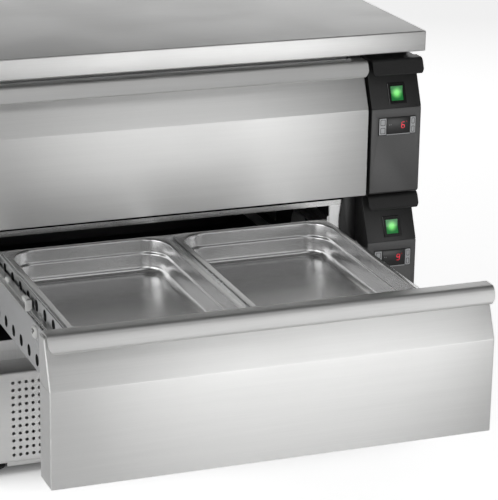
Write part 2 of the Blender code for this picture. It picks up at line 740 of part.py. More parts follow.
def add_evaporator(name, cabinet, level):
    """A fin block over the return slots, on a plate that carries the fan motor over the fan hole."""
    middle = level + CAVITY_MIDDLE
    face = DUCT_X + FIT
    hole_y = CABINET_FACE + FAN_HOLE_SETBACK
    block_start = CABINET_FACE + RETURN_SETBACK - COIL_OVERLAP
    low = (block_start, face)
    high = (block_start + COIL_LENGTH, face + COIL_DEPTH)
    outline = [(x, y) for y, x in comb(low, high, COIL_SPINE, COIL_FIN, COIL_FIN_COUNT)]
    block = prism(outline, "z", middle - COIL_HEIGHT / 2, middle + COIL_HEIGHT / 2)
    coil = add(f"{name}_evaporator", block, cabinet, "aluminium")
    reach = FAN_HOLE_RADIUS + COIL_PLATE_MARGIN
    plate_low = (face, hole_y - reach, middle - reach)
    plate = box(plate_low, (face + SHEET, block_start + COIL_FIN / 2, middle + reach))
    fuse(coil, "plate", plate)
    cut(coil, "plate_hole", rod("x", (hole_y, middle), FAN_HOLE_RADIUS, face - OVERRUN, face + OVERRUN))
    arm_low = (face + SHEET / 2, hole_y - MOTOR_ARM / 2, middle - reach + SHEET)
    arm = box(arm_low, (face + SHEET + MOTOR_ARM / 2, hole_y + MOTOR_ARM / 2, middle + reach - SHEET))
    fuse(coil, "arm", arm)
    motor = rod("x", (hole_y, middle), MOTOR_RADIUS, face + SHEET, face + SHEET + MOTOR_LENGTH, 16)
    fuse(coil, "motor", motor)
    hub_end = fan_place()[0] + FAN_HUB_LENGTH / 2 + FIT
    fuse(coil, "shaft", rod("x", (hole_y, middle), SHAFT_RADIUS, hub_end, face + MOTOR_LENGTH / 2, 8))


def fan_place():
    return DUCT_X - FAN_SETBACK - FAN_HUB_LENGTH / 2, CABINET_FACE + FAN_HOLE_SETBACK


def add_cooling(cabinet):
    for name, level in LEVELS.items():
        add_evaporator(name, cabinet, level)
        x, y = fan_place()
        add_fan(f"{name}_evaporator_fan", cabinet, (x, y, level + CAVITY_MIDDLE), FAN_RADIUS, "x")


def condenser_middle():
    x = -HALF_DRAWER + CONDENSER_LEFT + CONDENSER_WIDTH / 2
    return x, TRAY_FLOOR + CONDENSER_HEIGHT / 2


def add_condenser(cabinet):
    """A fin block behind the front's air holes, with the fan's shroud and motor behind it."""
    x, z = condenser_middle()
    near = CONDENSER_SETBACK
    far = near + CONDENSER_DEPTH
    low = (x - CONDENSER_WIDTH / 2, near)
    outline = comb(low, (x + CONDENSER_WIDTH / 2, far), SHEET, CONDENSER_FIN, CONDENSER_FIN_COUNT)
    block = prism(outline, "z", TRAY_FLOOR, TRAY_FLOOR + CONDENSER_HEIGHT)
    condenser = add("condenser", block, cabinet, "aluminium")
    ring = rod("y", (x, z), SHROUD_RADIUS + SHROUD_WALL, far - SHEET / 2, far + SHROUD_LENGTH)
    fuse(condenser, "shroud", ring)
    bore_end = far + SHROUD_LENGTH + OVERRUN
    cut(condenser, "shroud_bore", rod("y", (x, z), SHROUD_RADIUS, far - SHEET - FIT, bore_end))
    reach = SHROUD_RADIUS + SHROUD_WALL / 2
    arm_start = far + SHROUD_LENGTH - MOTOR_ARM / 2
    arm_low = (x - reach, arm_start, z - MOTOR_ARM / 2)
    fuse(condenser, "arm", box(arm_low, (x + reach, far + SHROUD_LENGTH - FIT, z + MOTOR_ARM / 2)))
    motor_end = arm_start + MOTOR_LENGTH
    fuse(condenser, "motor", rod("y", (x, z), MOTOR_RADIUS, arm_start + FIT, motor_end, 16))
    hub_end = condenser_fan_y() + FAN_HUB_LENGTH / 2 + FIT
    fuse(condenser, "shaft", rod("y", (x, z), SHAFT_RADIUS, hub_end, arm_start + MOTOR_LENGTH / 2, 8))


def condenser_fan_y():
    return CONDENSER_SETBACK + CONDENSER_DEPTH + SHROUD_LENGTH / 2 - MOTOR_ARM / 4


def add_compressor(cabinet):
    """A welded oval shell on its mounting plate, with the terminal box at its side."""
    x = -HALF_DRAWER + COMPRESSOR_LEFT
    y = COUNTER_DEPTH - COMPRESSOR_BACK
    seam = COMPRESSOR_HEIGHT * COMPRESSOR_SEAM_SHARE
    lower = [(COMPRESSOR_RADIUS * wide, COMPRESSOR_HEIGHT * high) for wide, high in COMPRESSOR_LOWER_SHARES]
    upper = [(COMPRESSOR_RADIUS * wide, COMPRESSOR_HEIGHT * high) for wide, high in COMPRESSOR_UPPER_SHARES]
    weld = [
        (COMPRESSOR_RADIUS + COMPRESSOR_PLATE, seam),
        (COMPRESSOR_RADIUS + COMPRESSOR_PLATE, seam + COMPRESSOR_PLATE),
        (COMPRESSOR_RADIUS, seam + COMPRESSOR_PLATE),
    ]
    profile = [(0, lower[0][1])] + lower + weld + upper + [(0, COMPRESSOR_HEIGHT)]
    shell = turned(profile, 20)
    for vert in shell.verts:
        vert.co.x *= COMPRESSOR_STRETCH_SHARE
    reach_x = COMPRESSOR_RADIUS * COMPRESSOR_STRETCH_SHARE + COMPRESSOR_PLATE_MARGIN
    reach_y = COMPRESSOR_RADIUS + COMPRESSOR_PLATE_MARGIN
    plate = prism(rounded_loop(reach_x, reach_y, COMPRESSOR_PLATE_MARGIN, 2), "z", 0, COMPRESSOR_PLATE)
    compressor = add("compressor", shell, cabinet, "compressor_black", (x, y, TRAY_FLOOR))
    fuse(compressor, "plate", plate)
    box_x = COMPRESSOR_RADIUS * COMPRESSOR_STRETCH_SHARE
    box_low = (box_x - COMPRESSOR_BOX_DEPTH / 2, -COMPRESSOR_BOX_WIDTH / 2, seam - COMPRESSOR_BOX_HEIGHT)
    box_high = (box_x + COMPRESSOR_BOX_DEPTH / 2, COMPRESSOR_BOX_WIDTH / 2, seam + COMPRESSOR_BOX_HEIGHT / 2)
    fuse(compressor, "terminal_box", box(box_low, box_high))


def slant_y(z):
    """How far back the slanted face lies at this height above the front's foot."""
    return (z - CREASE_HEIGHT) * math.tan(SLANT_ANGLE)


def add_drawer_front(name, drawer):
    """The foam-filled front: a flat face, a slant above its crease, and a step under the pull."""
    outline = [
        (0, 0),
        (FRONT_THICK, 0),
        (FRONT_THICK, FRONT_TOP),
        (SLANT_DEPTH, FRONT_TOP),
        (0, CREASE_HEIGHT),
    ]
    front = add(f"{name}_drawer_front", prism(outline, "x", -HALF_DRAWER, HALF_DRAWER), drawer, "stainless")
    soften(front, PANEL_EDGE, 2)


def lip_y(z, foot):
    """How far back the pull's outer face lies: it starts over the front's foot and leans like the slant."""
    return (z - foot) * math.tan(SLANT_ANGLE)


def hook_outline(top, back, leg_foot, sheet, end_return):
    """A pull's section: a return at its foot, the leaning plate, the nose, the top and a leg down its back."""
    foot = LIP_FOOT
    plate = sheet / math.cos(SLANT_ANGLE)
    under = top - sheet
    outline = [
        (end_return, foot),
        (0, foot),
        (lip_y(top, foot), top),
        (back, top),
        (back, leg_foot),
        (back - sheet, leg_foot),
        (back - sheet, under),
        (lip_y(under, foot) + plate, under),
        (lip_y(foot + sheet, foot) + plate, foot + sheet),
        (end_return, foot + sheet),
    ]
    radii = [0, sheet / 2, LIP_NOSE_RADIUS, sheet / 2, 0, 0, 0, LIP_NOSE_RADIUS - sheet, 0, 0]
    return rounded(outline, radii, 4)


def pull_front(low_x, high_x):
    """The pull as seen from the front: a block over its full depth with rounded lower corners."""
    low_z = LIP_FOOT - FIT
    high_z = DRAWER_HEIGHT + OVERRUN
    corners = [(low_x, low_z), (high_x, low_z), (high_x, high_z), (low_x, high_z)]
    outline = rounded(corners, [LIP_CORNER_RADIUS, LIP_CORNER_RADIUS, 0, 0], 4)
    return prism(outline, "y", -OVERRUN, CABINET_FACE)


def add_drawer_lip(name, drawer):
    """The pull: a sheet hooked over the front, open at its ends, with its lower corners rounded."""
    outline = hook_outline(DRAWER_HEIGHT, LIP_DEPTH, FRONT_TOP + FIT, LIP_SHEET, LIP_RETURN)
    reach = HALF_DRAWER + OVERRUN
    lip = add(f"{name}_drawer_lip", prism(outline, "x", -reach, reach), drawer, "stainless")
    keep_within(lip, "rounded_front", pull_front(-HALF_DRAWER, HALF_DRAWER))


def add_gasket(name, drawer):
    """The magnetic seal: a ring that bridges the front and the cabinet's face."""
    outer = (HALF_DRAWER - GASKET_SIDE_MARGIN, FRONT_TOP / 2 - GASKET_MARGIN / 2)
    middle_z = FRONT_TOP / 2
    near = DRAWER_BACK
    far = near + GASKET_THICK
    rings = []
    stations = [
        (GASKET_WIDTH, near),
        (0, near),
        (0, far - GASKET_THICK / 3),
        (GASKET_WIDTH / 4, far),
        (GASKET_WIDTH * 3 / 4, far),
        (GASKET_WIDTH, far - GASKET_THICK / 3),
    ]
    for inset, y in stations:
        loop = rounded_loop(outer[0] - inset, outer[1] - inset, GASKET_CORNER - inset, 3)
        rings.append([(x, y, middle_z + z) for x, z in loop])
    shape = bmesh.new()
    rows = [[shape.verts.new(point) for point in ring] for ring in rings]
    for row, following in zip(rows, rows[1:] + rows[:1]):
        for index in range(len(row)):
            after = (index + 1) % len(row)
            shape.faces.new((row[index], row[after], following[after], following[index]))
    add(f"{name}_drawer_gasket", shape, drawer, "gasket_grey")


def add_drawer_side(name, drawer, side):
    """A folded side: the pans' seat, the upper plate, the ledge for the slide and the outer plate."""
    sign = SIDES[side]
    inner = SIDE_X - SHEET
    outer = SIDE_X + LEDGE_WIDTH
    path = [
        (SIDE_X - SEAT_WIDTH, SEAT_TOP),
        (SIDE_X, SEAT_TOP),
        (SIDE_X, LEDGE_HEIGHT),
        (outer, LEDGE_HEIGHT),
        (outer, SIDE_BOTTOM),
    ]
    far_side = [
        (outer - SHEET, SIDE_BOTTOM),
        (outer - SHEET, LEDGE_HEIGHT - SHEET),
        (inner, LEDGE_HEIGHT - SHEET),
        (inner, SEAT_TOP - SHEET),
        (SIDE_X - SEAT_WIDTH, SEAT_TOP - SHEET),
    ]
    bend = SIDE_BEND
    radii = [0, SHEET, 0, bend, 0, 0, bend - SHEET, SHEET, 0, 0]
    outline = rounded(mirrored(path + far_side, sign), radii, 2)
    plate = prism(outline, "y", DRAWER_BACK, DRAWER_LENGTH)
    piece = add(f"{name}_{side}_side", plate, drawer, "galvanised")
    tongue_low = SLIDE_BOTTOM + SLIDE_FLANGE + FIT
    tongue_end = SLIDE_X + (SLIDE_WIDTH - SLIDE_WEB) / 2 - TONGUE_PLAY
    xs = sorted((sign * (inner + SHEET / 2), sign * tongue_end))
    tongue = box((xs[0], DRAWER_BACK, tongue_low), (xs[1], DRAWER_LENGTH, tongue_low + TONGUE_THICK))
    fuse(piece, "tongue", tongue)
    xs = sorted((sign * (outer - SHEET / 2), sign * (outer - SIDE_TAB)))
    tab_top = LEDGE_HEIGHT - SIDE_BEND
    fuse(piece, "tab", box((xs[0], DRAWER_BACK, SIDE_BOTTOM), (xs[1], DRAWER_BACK + SHEET, tab_top)))
    holes = []
    for index in range(UPPER_HOLE_COUNT):
        centre = (DRAWER_BACK + UPPER_HOLE_START + index * UPPER_HOLE_PITCH, UPPER_HOLE_HEIGHT)
        xs = sorted((sign * (inner - SHEET), sign * (SIDE_X + SHEET)))
        holes.append(rod("x", centre, HOLE_RADIUS, *xs, 10))
    for index in range(LOWER_HOLE_COUNT):
        centre = (DRAWER_BACK + LOWER_HOLE_START + index * LOWER_HOLE_PITCH, LOWER_HOLE_HEIGHT)
        xs = sorted((sign * (outer - 2 * SHEET), sign * (outer + SHEET)))
        holes.append(rod("x", centre, HOLE_RADIUS, *xs, 10))
    cut(piece, "round_holes", joined(*holes))


def add_cross_frame(name, drawer):
    """The front ledge, the divider between the pans and the rear rail, welded to one frame."""
    reach = SIDE_X - SEAT_WIDTH - FIT
    ledge = [
        (DRAWER_BACK, SEAT_TOP - FRAME_LEG),
        (DRAWER_BACK + SHEET, SEAT_TOP - FRAME_LEG),
        (DRAWER_BACK + SHEET, SEAT_TOP - SHEET),
        (DRAWER_BACK + LEDGE_DEPTH, SEAT_TOP - SHEET),
        (DRAWER_BACK + LEDGE_DEPTH, SEAT_TOP),
        (DRAWER_BACK, SEAT_TOP),
    ]
    frame = add(f"{name}_cross_frame", prism(ledge, "x", -reach, reach), drawer, "galvanised")
    end = DRAWER_LENGTH
    rail = [
        (end - REAR_RAIL_DEPTH, SEAT_TOP),
        (end, SEAT_TOP),
        (end, SEAT_TOP - FRAME_LEG),
        (end - SHEET, SEAT_TOP - FRAME_LEG),
        (end - SHEET, SEAT_TOP - SHEET),
        (end - REAR_RAIL_DEPTH, SEAT_TOP - SHEET),
    ]
    fuse(frame, "rear_rail", prism(rail, "x", -reach, reach))
    half = DIVIDER_WIDTH / 2
    divider = [
        (-half, SEAT_TOP),
        (half, SEAT_TOP),
        (half, SEAT_TOP - FRAME_LEG),
        (half - SHEET, SEAT_TOP - FRAME_LEG),
        (half - SHEET, SEAT_TOP - SHEET),
        (SHEET - half, SEAT_TOP - SHEET),
        (SHEET - half, SEAT_TOP - FRAME_LEG),
        (-half, SEAT_TOP - FRAME_LEG),
    ]
    fuse(frame, "divider", prism(divider, "y", DRAWER_BACK + SHEET / 2, end - SHEET / 2))


def pan_stations():
    """The pan's section from under its floor, up the outside, over the rim and down the inside."""
    bowl = PAN_RIM + PAN_SHEET
    low = bowl + PAN_DRAFT
    outside = []
    inside = []
    for step in range(3):
        turn = math.pi / 2 * step / 2
        inset = low + PAN_FILLET * (1 - math.sin(turn))
        height = PAN_FILLET * (1 - math.cos(turn)) - PAN_DEPTH
        outside.append((inset - PAN_SHEET * math.sin(turn), height, PAN_FLOOR_RADIUS))
        inside.append((inset, height + PAN_SHEET * math.cos(turn), PAN_FLOOR_RADIUS))
    shoulder = -PAN_SHOULDER_DROP
    outside += [
        (PAN_RIM + PAN_SHOULDER, shoulder - PAN_SHOULDER, PAN_BOWL_RADIUS),
        (PAN_RIM, shoulder, PAN_BOWL_RADIUS),
        (PAN_RIM, -PAN_SHEET, PAN_BOWL_RADIUS),
        (PAN_SHEET, -PAN_SHEET, PAN_RIM_RADIUS),
        (PAN_SHEET, -PAN_EDGE, PAN_RIM_RADIUS),
        (0, -PAN_EDGE, PAN_RIM_RADIUS),
        (0, -PAN_SHEET, PAN_RIM_RADIUS),
        (PAN_SHEET, 0, PAN_RIM_RADIUS),
    ]
    inside += [
        (bowl + PAN_SHOULDER, shoulder - PAN_SHOULDER, PAN_BOWL_RADIUS),
        (bowl, shoulder, PAN_BOWL_RADIUS),
        (bowl, -PAN_SHEET, PAN_BOWL_RADIUS),
        (bowl - PAN_SHEET, 0, PAN_BOWL_RADIUS),
    ]
    return outside + inside[::-1]


def add_pan(name, drawer, side):
    """A full-size pan with a rolled rim, a stacking shoulder and a filleted floor."""
    middle_x = SIDES[side] * (PAN_SPACING + PAN_WIDTH) / 2
    middle_y = DRAWER_BACK + PAN_LENGTH / 2
    rings = []
    for inset, height, radius in pan_stations():
        loop = rounded_loop(PAN_WIDTH / 2 - inset, PAN_LENGTH / 2 - inset, radius)
        rings.append([(x, y, height) for x, y in loop])
    add(f"{name}_{side}_pan", lofted(rings), drawer, "bright_stainless", (middle_x, middle_y, PAN_TOP))


def add_drawer(name, cabinet, opened):
    """One drawer and the middle members of its slides, at the given opening."""
    drawer = frame_at(f"{name}_drawer_frame", (0, -opened, LEVELS[name]), cabinet)
    add_drawer_front(name, drawer)
    add_drawer_lip(name, drawer)
    add_gasket(name, drawer)
    add_cross_frame(name, drawer)
    middle = frame_at(f"{name}_middle_frame", (0, -opened * MIDDLE_SHARE, LEVELS[name]), cabinet)
    fixed = frame_at(f"{name}_rail_frame", (0, 0, LEVELS[name]), cabinet)
    for side in SIDES:
        add_drawer_side(name, drawer, side)
        add_pan(name, drawer, side)
        add_slide_middle(name, middle, side)
        add_slide_rail(name, fixed, side)


def buffer_outline():
    """The part of a disc that stands up through the middle member's top."""
    centre_y = DRAWER_BACK + BUFFER_SETBACK
    centre_z = SLIDE_TOP + BUFFER_RISE - BUFFER_RADIUS
    base = SLIDE_TOP - SLIDE_FLANGE / 2
    low = math.asin((base - centre_z) / BUFFER_RADIUS)
    points = []
    steps = FACES_PER_TURN // 4
    for step in range(steps + 1):
        turn = low + (math.pi - 2 * low) * step / steps
        points.append((centre_y + BUFFER_RADIUS * math.cos(turn), centre_z + BUFFER_RADIUS * math.sin(turn)))
    return points


def add_slide_middle(name, middle, side):
    """The middle member: an H section with a buffer on its top and a cap over its front end's outer half."""
    sign = SIDES[side]
    near = SLIDE_X
    far = SLIDE_X + SLIDE_WIDTH
    web_near = SLIDE_X + (SLIDE_WIDTH - SLIDE_WEB) / 2
    web_far = web_near + SLIDE_WEB
    floor = SLIDE_BOTTOM + SLIDE_FLANGE
    roof = SLIDE_TOP - SLIDE_FLANGE
    outline = [
        (near, SLIDE_BOTTOM),
        (far, SLIDE_BOTTOM),
        (far, floor),
        (web_far, floor),
        (web_far, roof),
        (far, roof),
        (far, SLIDE_TOP),
        (near, SLIDE_TOP),
        (near, roof),
        (web_near, roof),
        (web_near, floor),
        (near, floor),
    ]
    start = DRAWER_BACK + FIT
    end = CAVITY_BACK - SLIDE_REAR_GAP
    shape = prism(mirrored(outline, sign), "y", start, end)
    member = add(f"{name}_{side}_slide_middle", shape, middle, "slide_steel")
    xs = sorted((sign * (web_near + SLIDE_WEB / 2), sign * far))
    cap_low = (xs[0], start, SLIDE_BOTTOM + SLIDE_FLANGE / 2)
    fuse(member, "end_cap", box(cap_low, (xs[1], start + END_CAP, SLIDE_TOP - SLIDE_FLANGE / 2)))
    xs = sorted((sign * (far - BUFFER_WIDTH), sign * far))
    fuse(member, "buffer", prism(buffer_outline(), "x", *xs))


def add_slide_rail(name, fixed, side):
    """The cabinet member: a plate on the cavity's wall with a tongue in the middle member."""
    sign = SIDES[side]
    wall = CAVITY_X - FIT
    plate_inner = wall - RAIL_PLATE
    web_far = SLIDE_X + (SLIDE_WIDTH + SLIDE_WEB) / 2
    tongue_end = web_far + TONGUE_PLAY
    roof = SLIDE_TOP - SLIDE_FLANGE - FIT
    outline = [
        (wall, SLIDE_BOTTOM - RAIL_RISE),
        (wall, SLIDE_TOP + RAIL_RISE),
        (plate_inner, SLIDE_TOP + RAIL_RISE),
        (plate_inner, roof),
        (tongue_end, roof),
        (tongue_end, roof - RAIL_TONGUE),
        (plate_inner, roof - RAIL_TONGUE),
        (plate_inner, SLIDE_BOTTOM - RAIL_RISE),
    ]
    shape = prism(mirrored(outline, sign), "y", CABINET_FACE + FIT, CAVITY_BACK - FIT)
    add(f"{name}_{side}_slide_rail", shape, fixed, "slide_steel")


def add_module(name, cabinet):
    """One control module: housing, face plate, controller with its keys, and the lit switch."""
    module = frame_at(f"{name}_module_frame", (MODULE_LEFT, 0, LEVELS[name]), cabinet)
    add_housing(name, module)
    add_face_plate(name, module)
    add_controller(name, module)
    add_switch(name, module)


def housing_outline():
    """The moulding's section without its pull: the slant runs up to the top."""
    back = CABINET_FACE - FIT
    top = DRAWER_HEIGHT - FIT
    return [
        (PLATE_THICK + FIT, 0),
        (back, 0),
        (back, top),
        (slant_y(top), top),
        (0, CREASE_HEIGHT),
        (PLATE_THICK + FIT, CREASE_HEIGHT),
    ]


def housing_hollow():
    """The space in the housing, a wall inside its face and slant, open at the back."""
    face = PLATE_THICK + FIT + HOUSING_WALL
    top = DRAWER_HEIGHT - LIP_LEG
    back = CABINET_FACE + OVERRUN
    wall = HOUSING_WALL / math.cos(SLANT_ANGLE)
    bend = CREASE_HEIGHT + (face - wall) / math.tan(SLANT_ANGLE)
    outline = [
        (face, HOUSING_WALL),
        (back, HOUSING_WALL),
        (back, top),
        (slant_y(top) + wall, top),
        (face, max(bend, HOUSING_WALL)),
    ]
    return prism(outline, "x", HOUSING_WALL, MODULE_WIDTH - HOUSING_WALL)


def switch_cut(depth_in, depth_out, margin):
    """A block through the slant, in the housing's frame, this much smaller than the bezel all round."""
    half_x = BEZEL_WIDTH / 2 - margin
    half_z = BEZEL_LENGTH / 2 - margin
    shape = box((-half_x, -depth_out, -half_z), (half_x, depth_in, half_z))
    x, y, z = switch_place()
    for vert in shape.verts:
        turned_y = vert.co.y * math.cos(SLANT_ANGLE) + vert.co.z * math.sin(SLANT_ANGLE)
        turned_z = vert.co.z * math.cos(SLANT_ANGLE) - vert.co.y * math.sin(SLANT_ANGLE)
        vert.co = (x + vert.co.x, y + turned_y, z + turned_z)
    return shape


def switch_place():
    """The middle of the bezel on the slanted face, in the module's frame."""
    along_slant = BEZEL_RISE
    y = along_slant * math.sin(SLANT_ANGLE)
    z = CREASE_HEIGHT + along_slant * math.cos(SLANT_ANGLE)
    return BEZEL_LEFT + BEZEL_WIDTH / 2, y, z


def controller_box(margin, front, back):
    """A block round the controller's place, this much larger all round."""
    top = CREASE_HEIGHT - CONTROLLER_DROP
    low = (CONTROLLER_LEFT - margin, front, top - CONTROLLER_HEIGHT - margin)
    return box(low, (CONTROLLER_LEFT + CONTROLLER_WIDTH + margin, back, top + margin))


def add_housing(name, module):
    """The black moulding: pull nose, slant, hollow body, and the trim beside the drawer."""
    body = prism(housing_outline(), "x", 0, MODULE_WIDTH)
    housing = add(f"{name}_module_housing", body, module, "black_plastic")
    back = CABINET_FACE - FIT
    trim_low = (-HOUSING_TRIM, back - HOUSING_TRIM_THICK, 0)
    fuse(housing, "trim", box(trim_low, (HOUSING_WALL, back, DRAWER_HEIGHT)))
    cut(housing, "hollow", housing_hollow())
    nose_back = slant_y(DRAWER_HEIGHT) + HOUSING_WALL
    nose_foot = DRAWER_HEIGHT - 2 * HOUSING_WALL
    nose = hook_outline(DRAWER_HEIGHT, nose_back, nose_foot, HOUSING_WALL, 2 * HOUSING_WALL)
    nose_shape = prism(nose, "x", -OVERRUN, MODULE_WIDTH + 2 * OVERRUN)
    pull = fuse(housing, "pull", nose_shape)
    keep_within(pull, "rounded_front", pull_front(NOSE_INSET, MODULE_WIDTH + WORKTOP_OVERHANG))
    cut(housing, "controller_hole", controller_box(FIT, -OVERRUN, CONTROLLER_DEPTH + FIT))
    margin = SWITCH_BODY_MARGIN - FIT
    cut(housing, "switch_hole", switch_cut(SWITCH_BODY_DEPTH + FIT, OVERRUN, margin))


def add_face_plate(name, module):
    low = (0, 0, PLATE_FOOT)
    high = (MODULE_WIDTH, PLATE_THICK, CREASE_HEIGHT - FIT)
    plate = add(f"{name}_module_plate", box(low, high), module, "anthracite")
    soften(plate, PLATE_THICK / 4)
    cut(plate, "controller_hole", controller_box(FIT, -OVERRUN, OVERRUN))


def key_span(side):
    """The low and high x of a key, inside the controller's frame."""
    if side == "left":
        low = CONTROLLER_LEFT + CONTROLLER_FRAME
        return low, low + LEFT_KEY_WIDTH
    high = CONTROLLER_LEFT + CONTROLLER_WIDTH - CONTROLLER_FRAME
    return high - RIGHT_KEY_WIDTH, high


def add_controller(name, module):
    """The thermostat: its body, a recessed screen, and a key at each side of it."""
    controller = add(
        f"{name}_controller",
        controller_box(0, -CONTROLLER_PROUD, CONTROLLER_DEPTH),
        module,
        "black_plastic",
    )
    top = CREASE_HEIGHT - CONTROLLER_DROP - CONTROLLER_FRAME
    bottom = top - CONTROLLER_HEIGHT + 2 * CONTROLLER_FRAME
    screen_low = key_span("left")[1] + CONTROLLER_FRAME + FIT
    screen_high = key_span("right")[0] - CONTROLLER_FRAME - FIT
    recess_back = CONTROLLER_SCREEN_DEPTH - CONTROLLER_PROUD
    pockets = [box((screen_low, -OVERRUN, bottom), (screen_high, recess_back, top))]
    for side in SIDES:
        low, high = key_span(side)
        pocket_back = KEY_POCKET - CONTROLLER_PROUD
        pockets.append(box((low - FIT, -OVERRUN, bottom - FIT), (high + FIT, pocket_back, top + FIT)))
        middle = ((low + high) / 2, -CONTROLLER_PROUD + KEY_THICK / 2, (bottom + top) / 2)
        half = ((high - low) / 2, KEY_THICK / 2, (top - bottom) / 2)
        shape = box((-half[0], -half[1], -half[2]), half)
        key = add(f"{name}_{side}_key", shape, module, "key_grey", middle)
        soften(key, KEY_THICK / 5)
    cut(controller, "pockets", joined(*pockets))


def add_switch(name, module):
    """The bezel let into the slant, and the rocker that tips in it."""
    frame = frame_at(f"{name}_switch_frame", switch_place(), module, -SLANT_ANGLE)
    half_x = BEZEL_WIDTH / 2
    half_z = BEZEL_LENGTH / 2
    flange = box((-half_x, -BEZEL_THICK - FIT, -half_z), (half_x, -FIT, half_z))
    bezel = add(f"{name}_switch_bezel", flange, frame, "black_plastic")
    soften(bezel, BEZEL_THICK / 3)
    margin = SWITCH_BODY_MARGIN
    body_low = (margin - half_x, -BEZEL_THICK / 2, margin - half_z)
    fuse(bezel, "body", box(body_low, (half_x - margin, SWITCH_BODY_DEPTH, half_z - margin)))
    open_x = half_x - SWITCH_FRAME
    open_z = half_z - SWITCH_FRAME
    cut(bezel, "opening", box((-open_x, -OVERRUN, -open_z), (open_x, SWITCH_POCKET, open_z)))
    reach_z = open_z - ROCKER_END_GAP
    fall = reach_z * math.tan(ROCKER_TILT)
    front = -ROCKER_PIVOT_DEPTH - BEZEL_THICK
    back = front + fall + ROCKER_THICK
    outline = [
        (front, -reach_z),
        (front + fall, 0),
        (front, reach_z),
        (back, reach_z * ROCKER_BACK_SHARE),
        (back, -reach_z * ROCKER_BACK_SHARE),
    ]
    rocker_x = open_x - FIT
    rocker = add(
        f"{name}_switch_rocker",
        prism(outline, "x", -rocker_x, rocker_x),
        frame,
        "switch_green",
        (0, ROCKER_PIVOT_DEPTH, 0),
    )
    rocker.rotation_euler.x = ROCKER_TILT


def build():
    clear_scene()
    cabinet = frame_at("cabinet_frame", (CENTRE_X, FRONT_Y, 0))
    add_worktop(cabinet)
    add_walls(cabinet)
    add_cavity_floor(cabinet)
    add_duct_wall(cabinet)
    add_duct_cover(cabinet)
    add_base_front(cabinet)
    add_base_tray(cabinet)
    add_mains_inlet(cabinet)
    add_feet(cabinet)
    add_condenser(cabinet)
    condenser_x, condenser_z = condenser_middle()
    condenser_fan_place = (condenser_x, condenser_fan_y(), condenser_z)
    add_fan("condenser_fan", cabinet, condenser_fan_place, SHROUD_RADIUS - SHROUD_WALL, "y")
    add_compressor(cabinet)
    add_cooling(cabinet)
    add_drawer("lower", cabinet, DRAWER_TRAVEL)
    add_drawer("upper", cabinet, 0.0)
    for name in LEVELS:
        add_module(name, cabinet)


build()
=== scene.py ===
import math

import bmesh
import bpy
from mathutils import Matrix, Vector


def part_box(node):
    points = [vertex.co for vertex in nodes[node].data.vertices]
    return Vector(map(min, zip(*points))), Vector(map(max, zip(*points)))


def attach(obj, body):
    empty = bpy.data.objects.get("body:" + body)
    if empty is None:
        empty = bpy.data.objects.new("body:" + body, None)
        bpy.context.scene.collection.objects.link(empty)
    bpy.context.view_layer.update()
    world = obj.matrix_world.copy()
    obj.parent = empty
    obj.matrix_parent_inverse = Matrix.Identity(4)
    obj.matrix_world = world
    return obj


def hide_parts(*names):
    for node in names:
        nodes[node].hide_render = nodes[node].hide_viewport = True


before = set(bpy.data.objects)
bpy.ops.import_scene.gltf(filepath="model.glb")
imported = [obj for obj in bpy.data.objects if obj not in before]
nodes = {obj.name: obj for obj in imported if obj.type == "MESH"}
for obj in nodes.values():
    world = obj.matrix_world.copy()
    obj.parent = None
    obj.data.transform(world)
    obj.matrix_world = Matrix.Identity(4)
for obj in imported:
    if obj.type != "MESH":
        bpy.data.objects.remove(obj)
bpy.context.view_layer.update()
drawers = ("lower", "upper")
sides = {"left": -1, "right": 1}

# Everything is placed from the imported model: the drawers' middle, and the face of a closed drawer
frontLow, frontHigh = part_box("upper_drawer_front")
centreX = (frontLow.x + frontHigh.x) / 2
halfDrawer = (frontHigh.x - frontLow.x) / 2
facePlane = frontLow.y
# A drawer's section, which the modules share: heights above its foot, and the slant over the crease
slantTan = 0.0351 / 0.0829
slantAngle = math.atan(slantTan)
creaseHeight = 0.1731
frontTop = 0.256
drawerHeight = 0.268
frontThick = 0.0626


def drawerPlace(name):
    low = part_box(f"{name}_drawer_front")[0]
    return Vector((centreX, low.y, low.z))


def modulePlace(name):
    return Vector((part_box(f"{name}_module_plate")[0].x, facePlane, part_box(f"{name}_module_housing")[0].z))


# Shapes

turns = {"x": Matrix.Rotation(math.pi / 2, 4, "Y"), "y": Matrix.Rotation(math.pi / 2, 4, "X"), "z": Matrix()}


# A point from its two coordinates square to the axis and its place along it
def pointOn(axis, across, along):
    point = list(across)
    point.insert("xyz".index(axis), along)
    return point


def addBox(bm, corner, opposite):
    low, high = (Vector(map(choose, corner, opposite)) for choose in (min, max))
    size = Matrix.Diagonal((*(high - low), 1))
    return bmesh.ops.create_cube(bm, size=1, matrix=Matrix.Translation((low + high) / 2) @ size)["verts"]


def addRod(bm, axis, centre, radius, start, end, segments):
    place = Matrix.Translation(pointOn(axis, centre, (start + end) / 2)) @ turns[axis]
    bmesh.ops.create_cone(bm, cap_ends=True, segments=segments, radius1=radius, radius2=radius,
        depth=abs(end - start), matrix=place)


def edgesOf(verts):
    return list(dict.fromkeys(edge for vert in verts for edge in vert.link_edges))


# Edges of a circle square to the axis
def addRing(bm, axis, centre, radius, along, segments):
    place = Matrix.Translation(pointOn(axis, centre, along)) @ turns[axis]
    made = bmesh.ops.create_circle(bm, cap_ends=False, radius=radius, segments=segments, matrix=place)
    return edgesOf(made["verts"])


def bevelSharp(bm, width, segments=2, angle=35, edges=None):
    if edges is None:
        limit = math.radians(angle)
        edges = [edge for edge in bm.edges if len(edge.link_faces) == 2 and edge.calc_face_angle(0) > limit]
    bmesh.ops.bevel(bm, geom=edges, offset=width, offset_type="OFFSET", segments=segments, profile=0.5,
        affect="EDGES", clamp_overlap=True, material=-1)


def newVerts(grown):
    return [item for item in grown["geom"] if isinstance(item, bmesh.types.BMVert)]


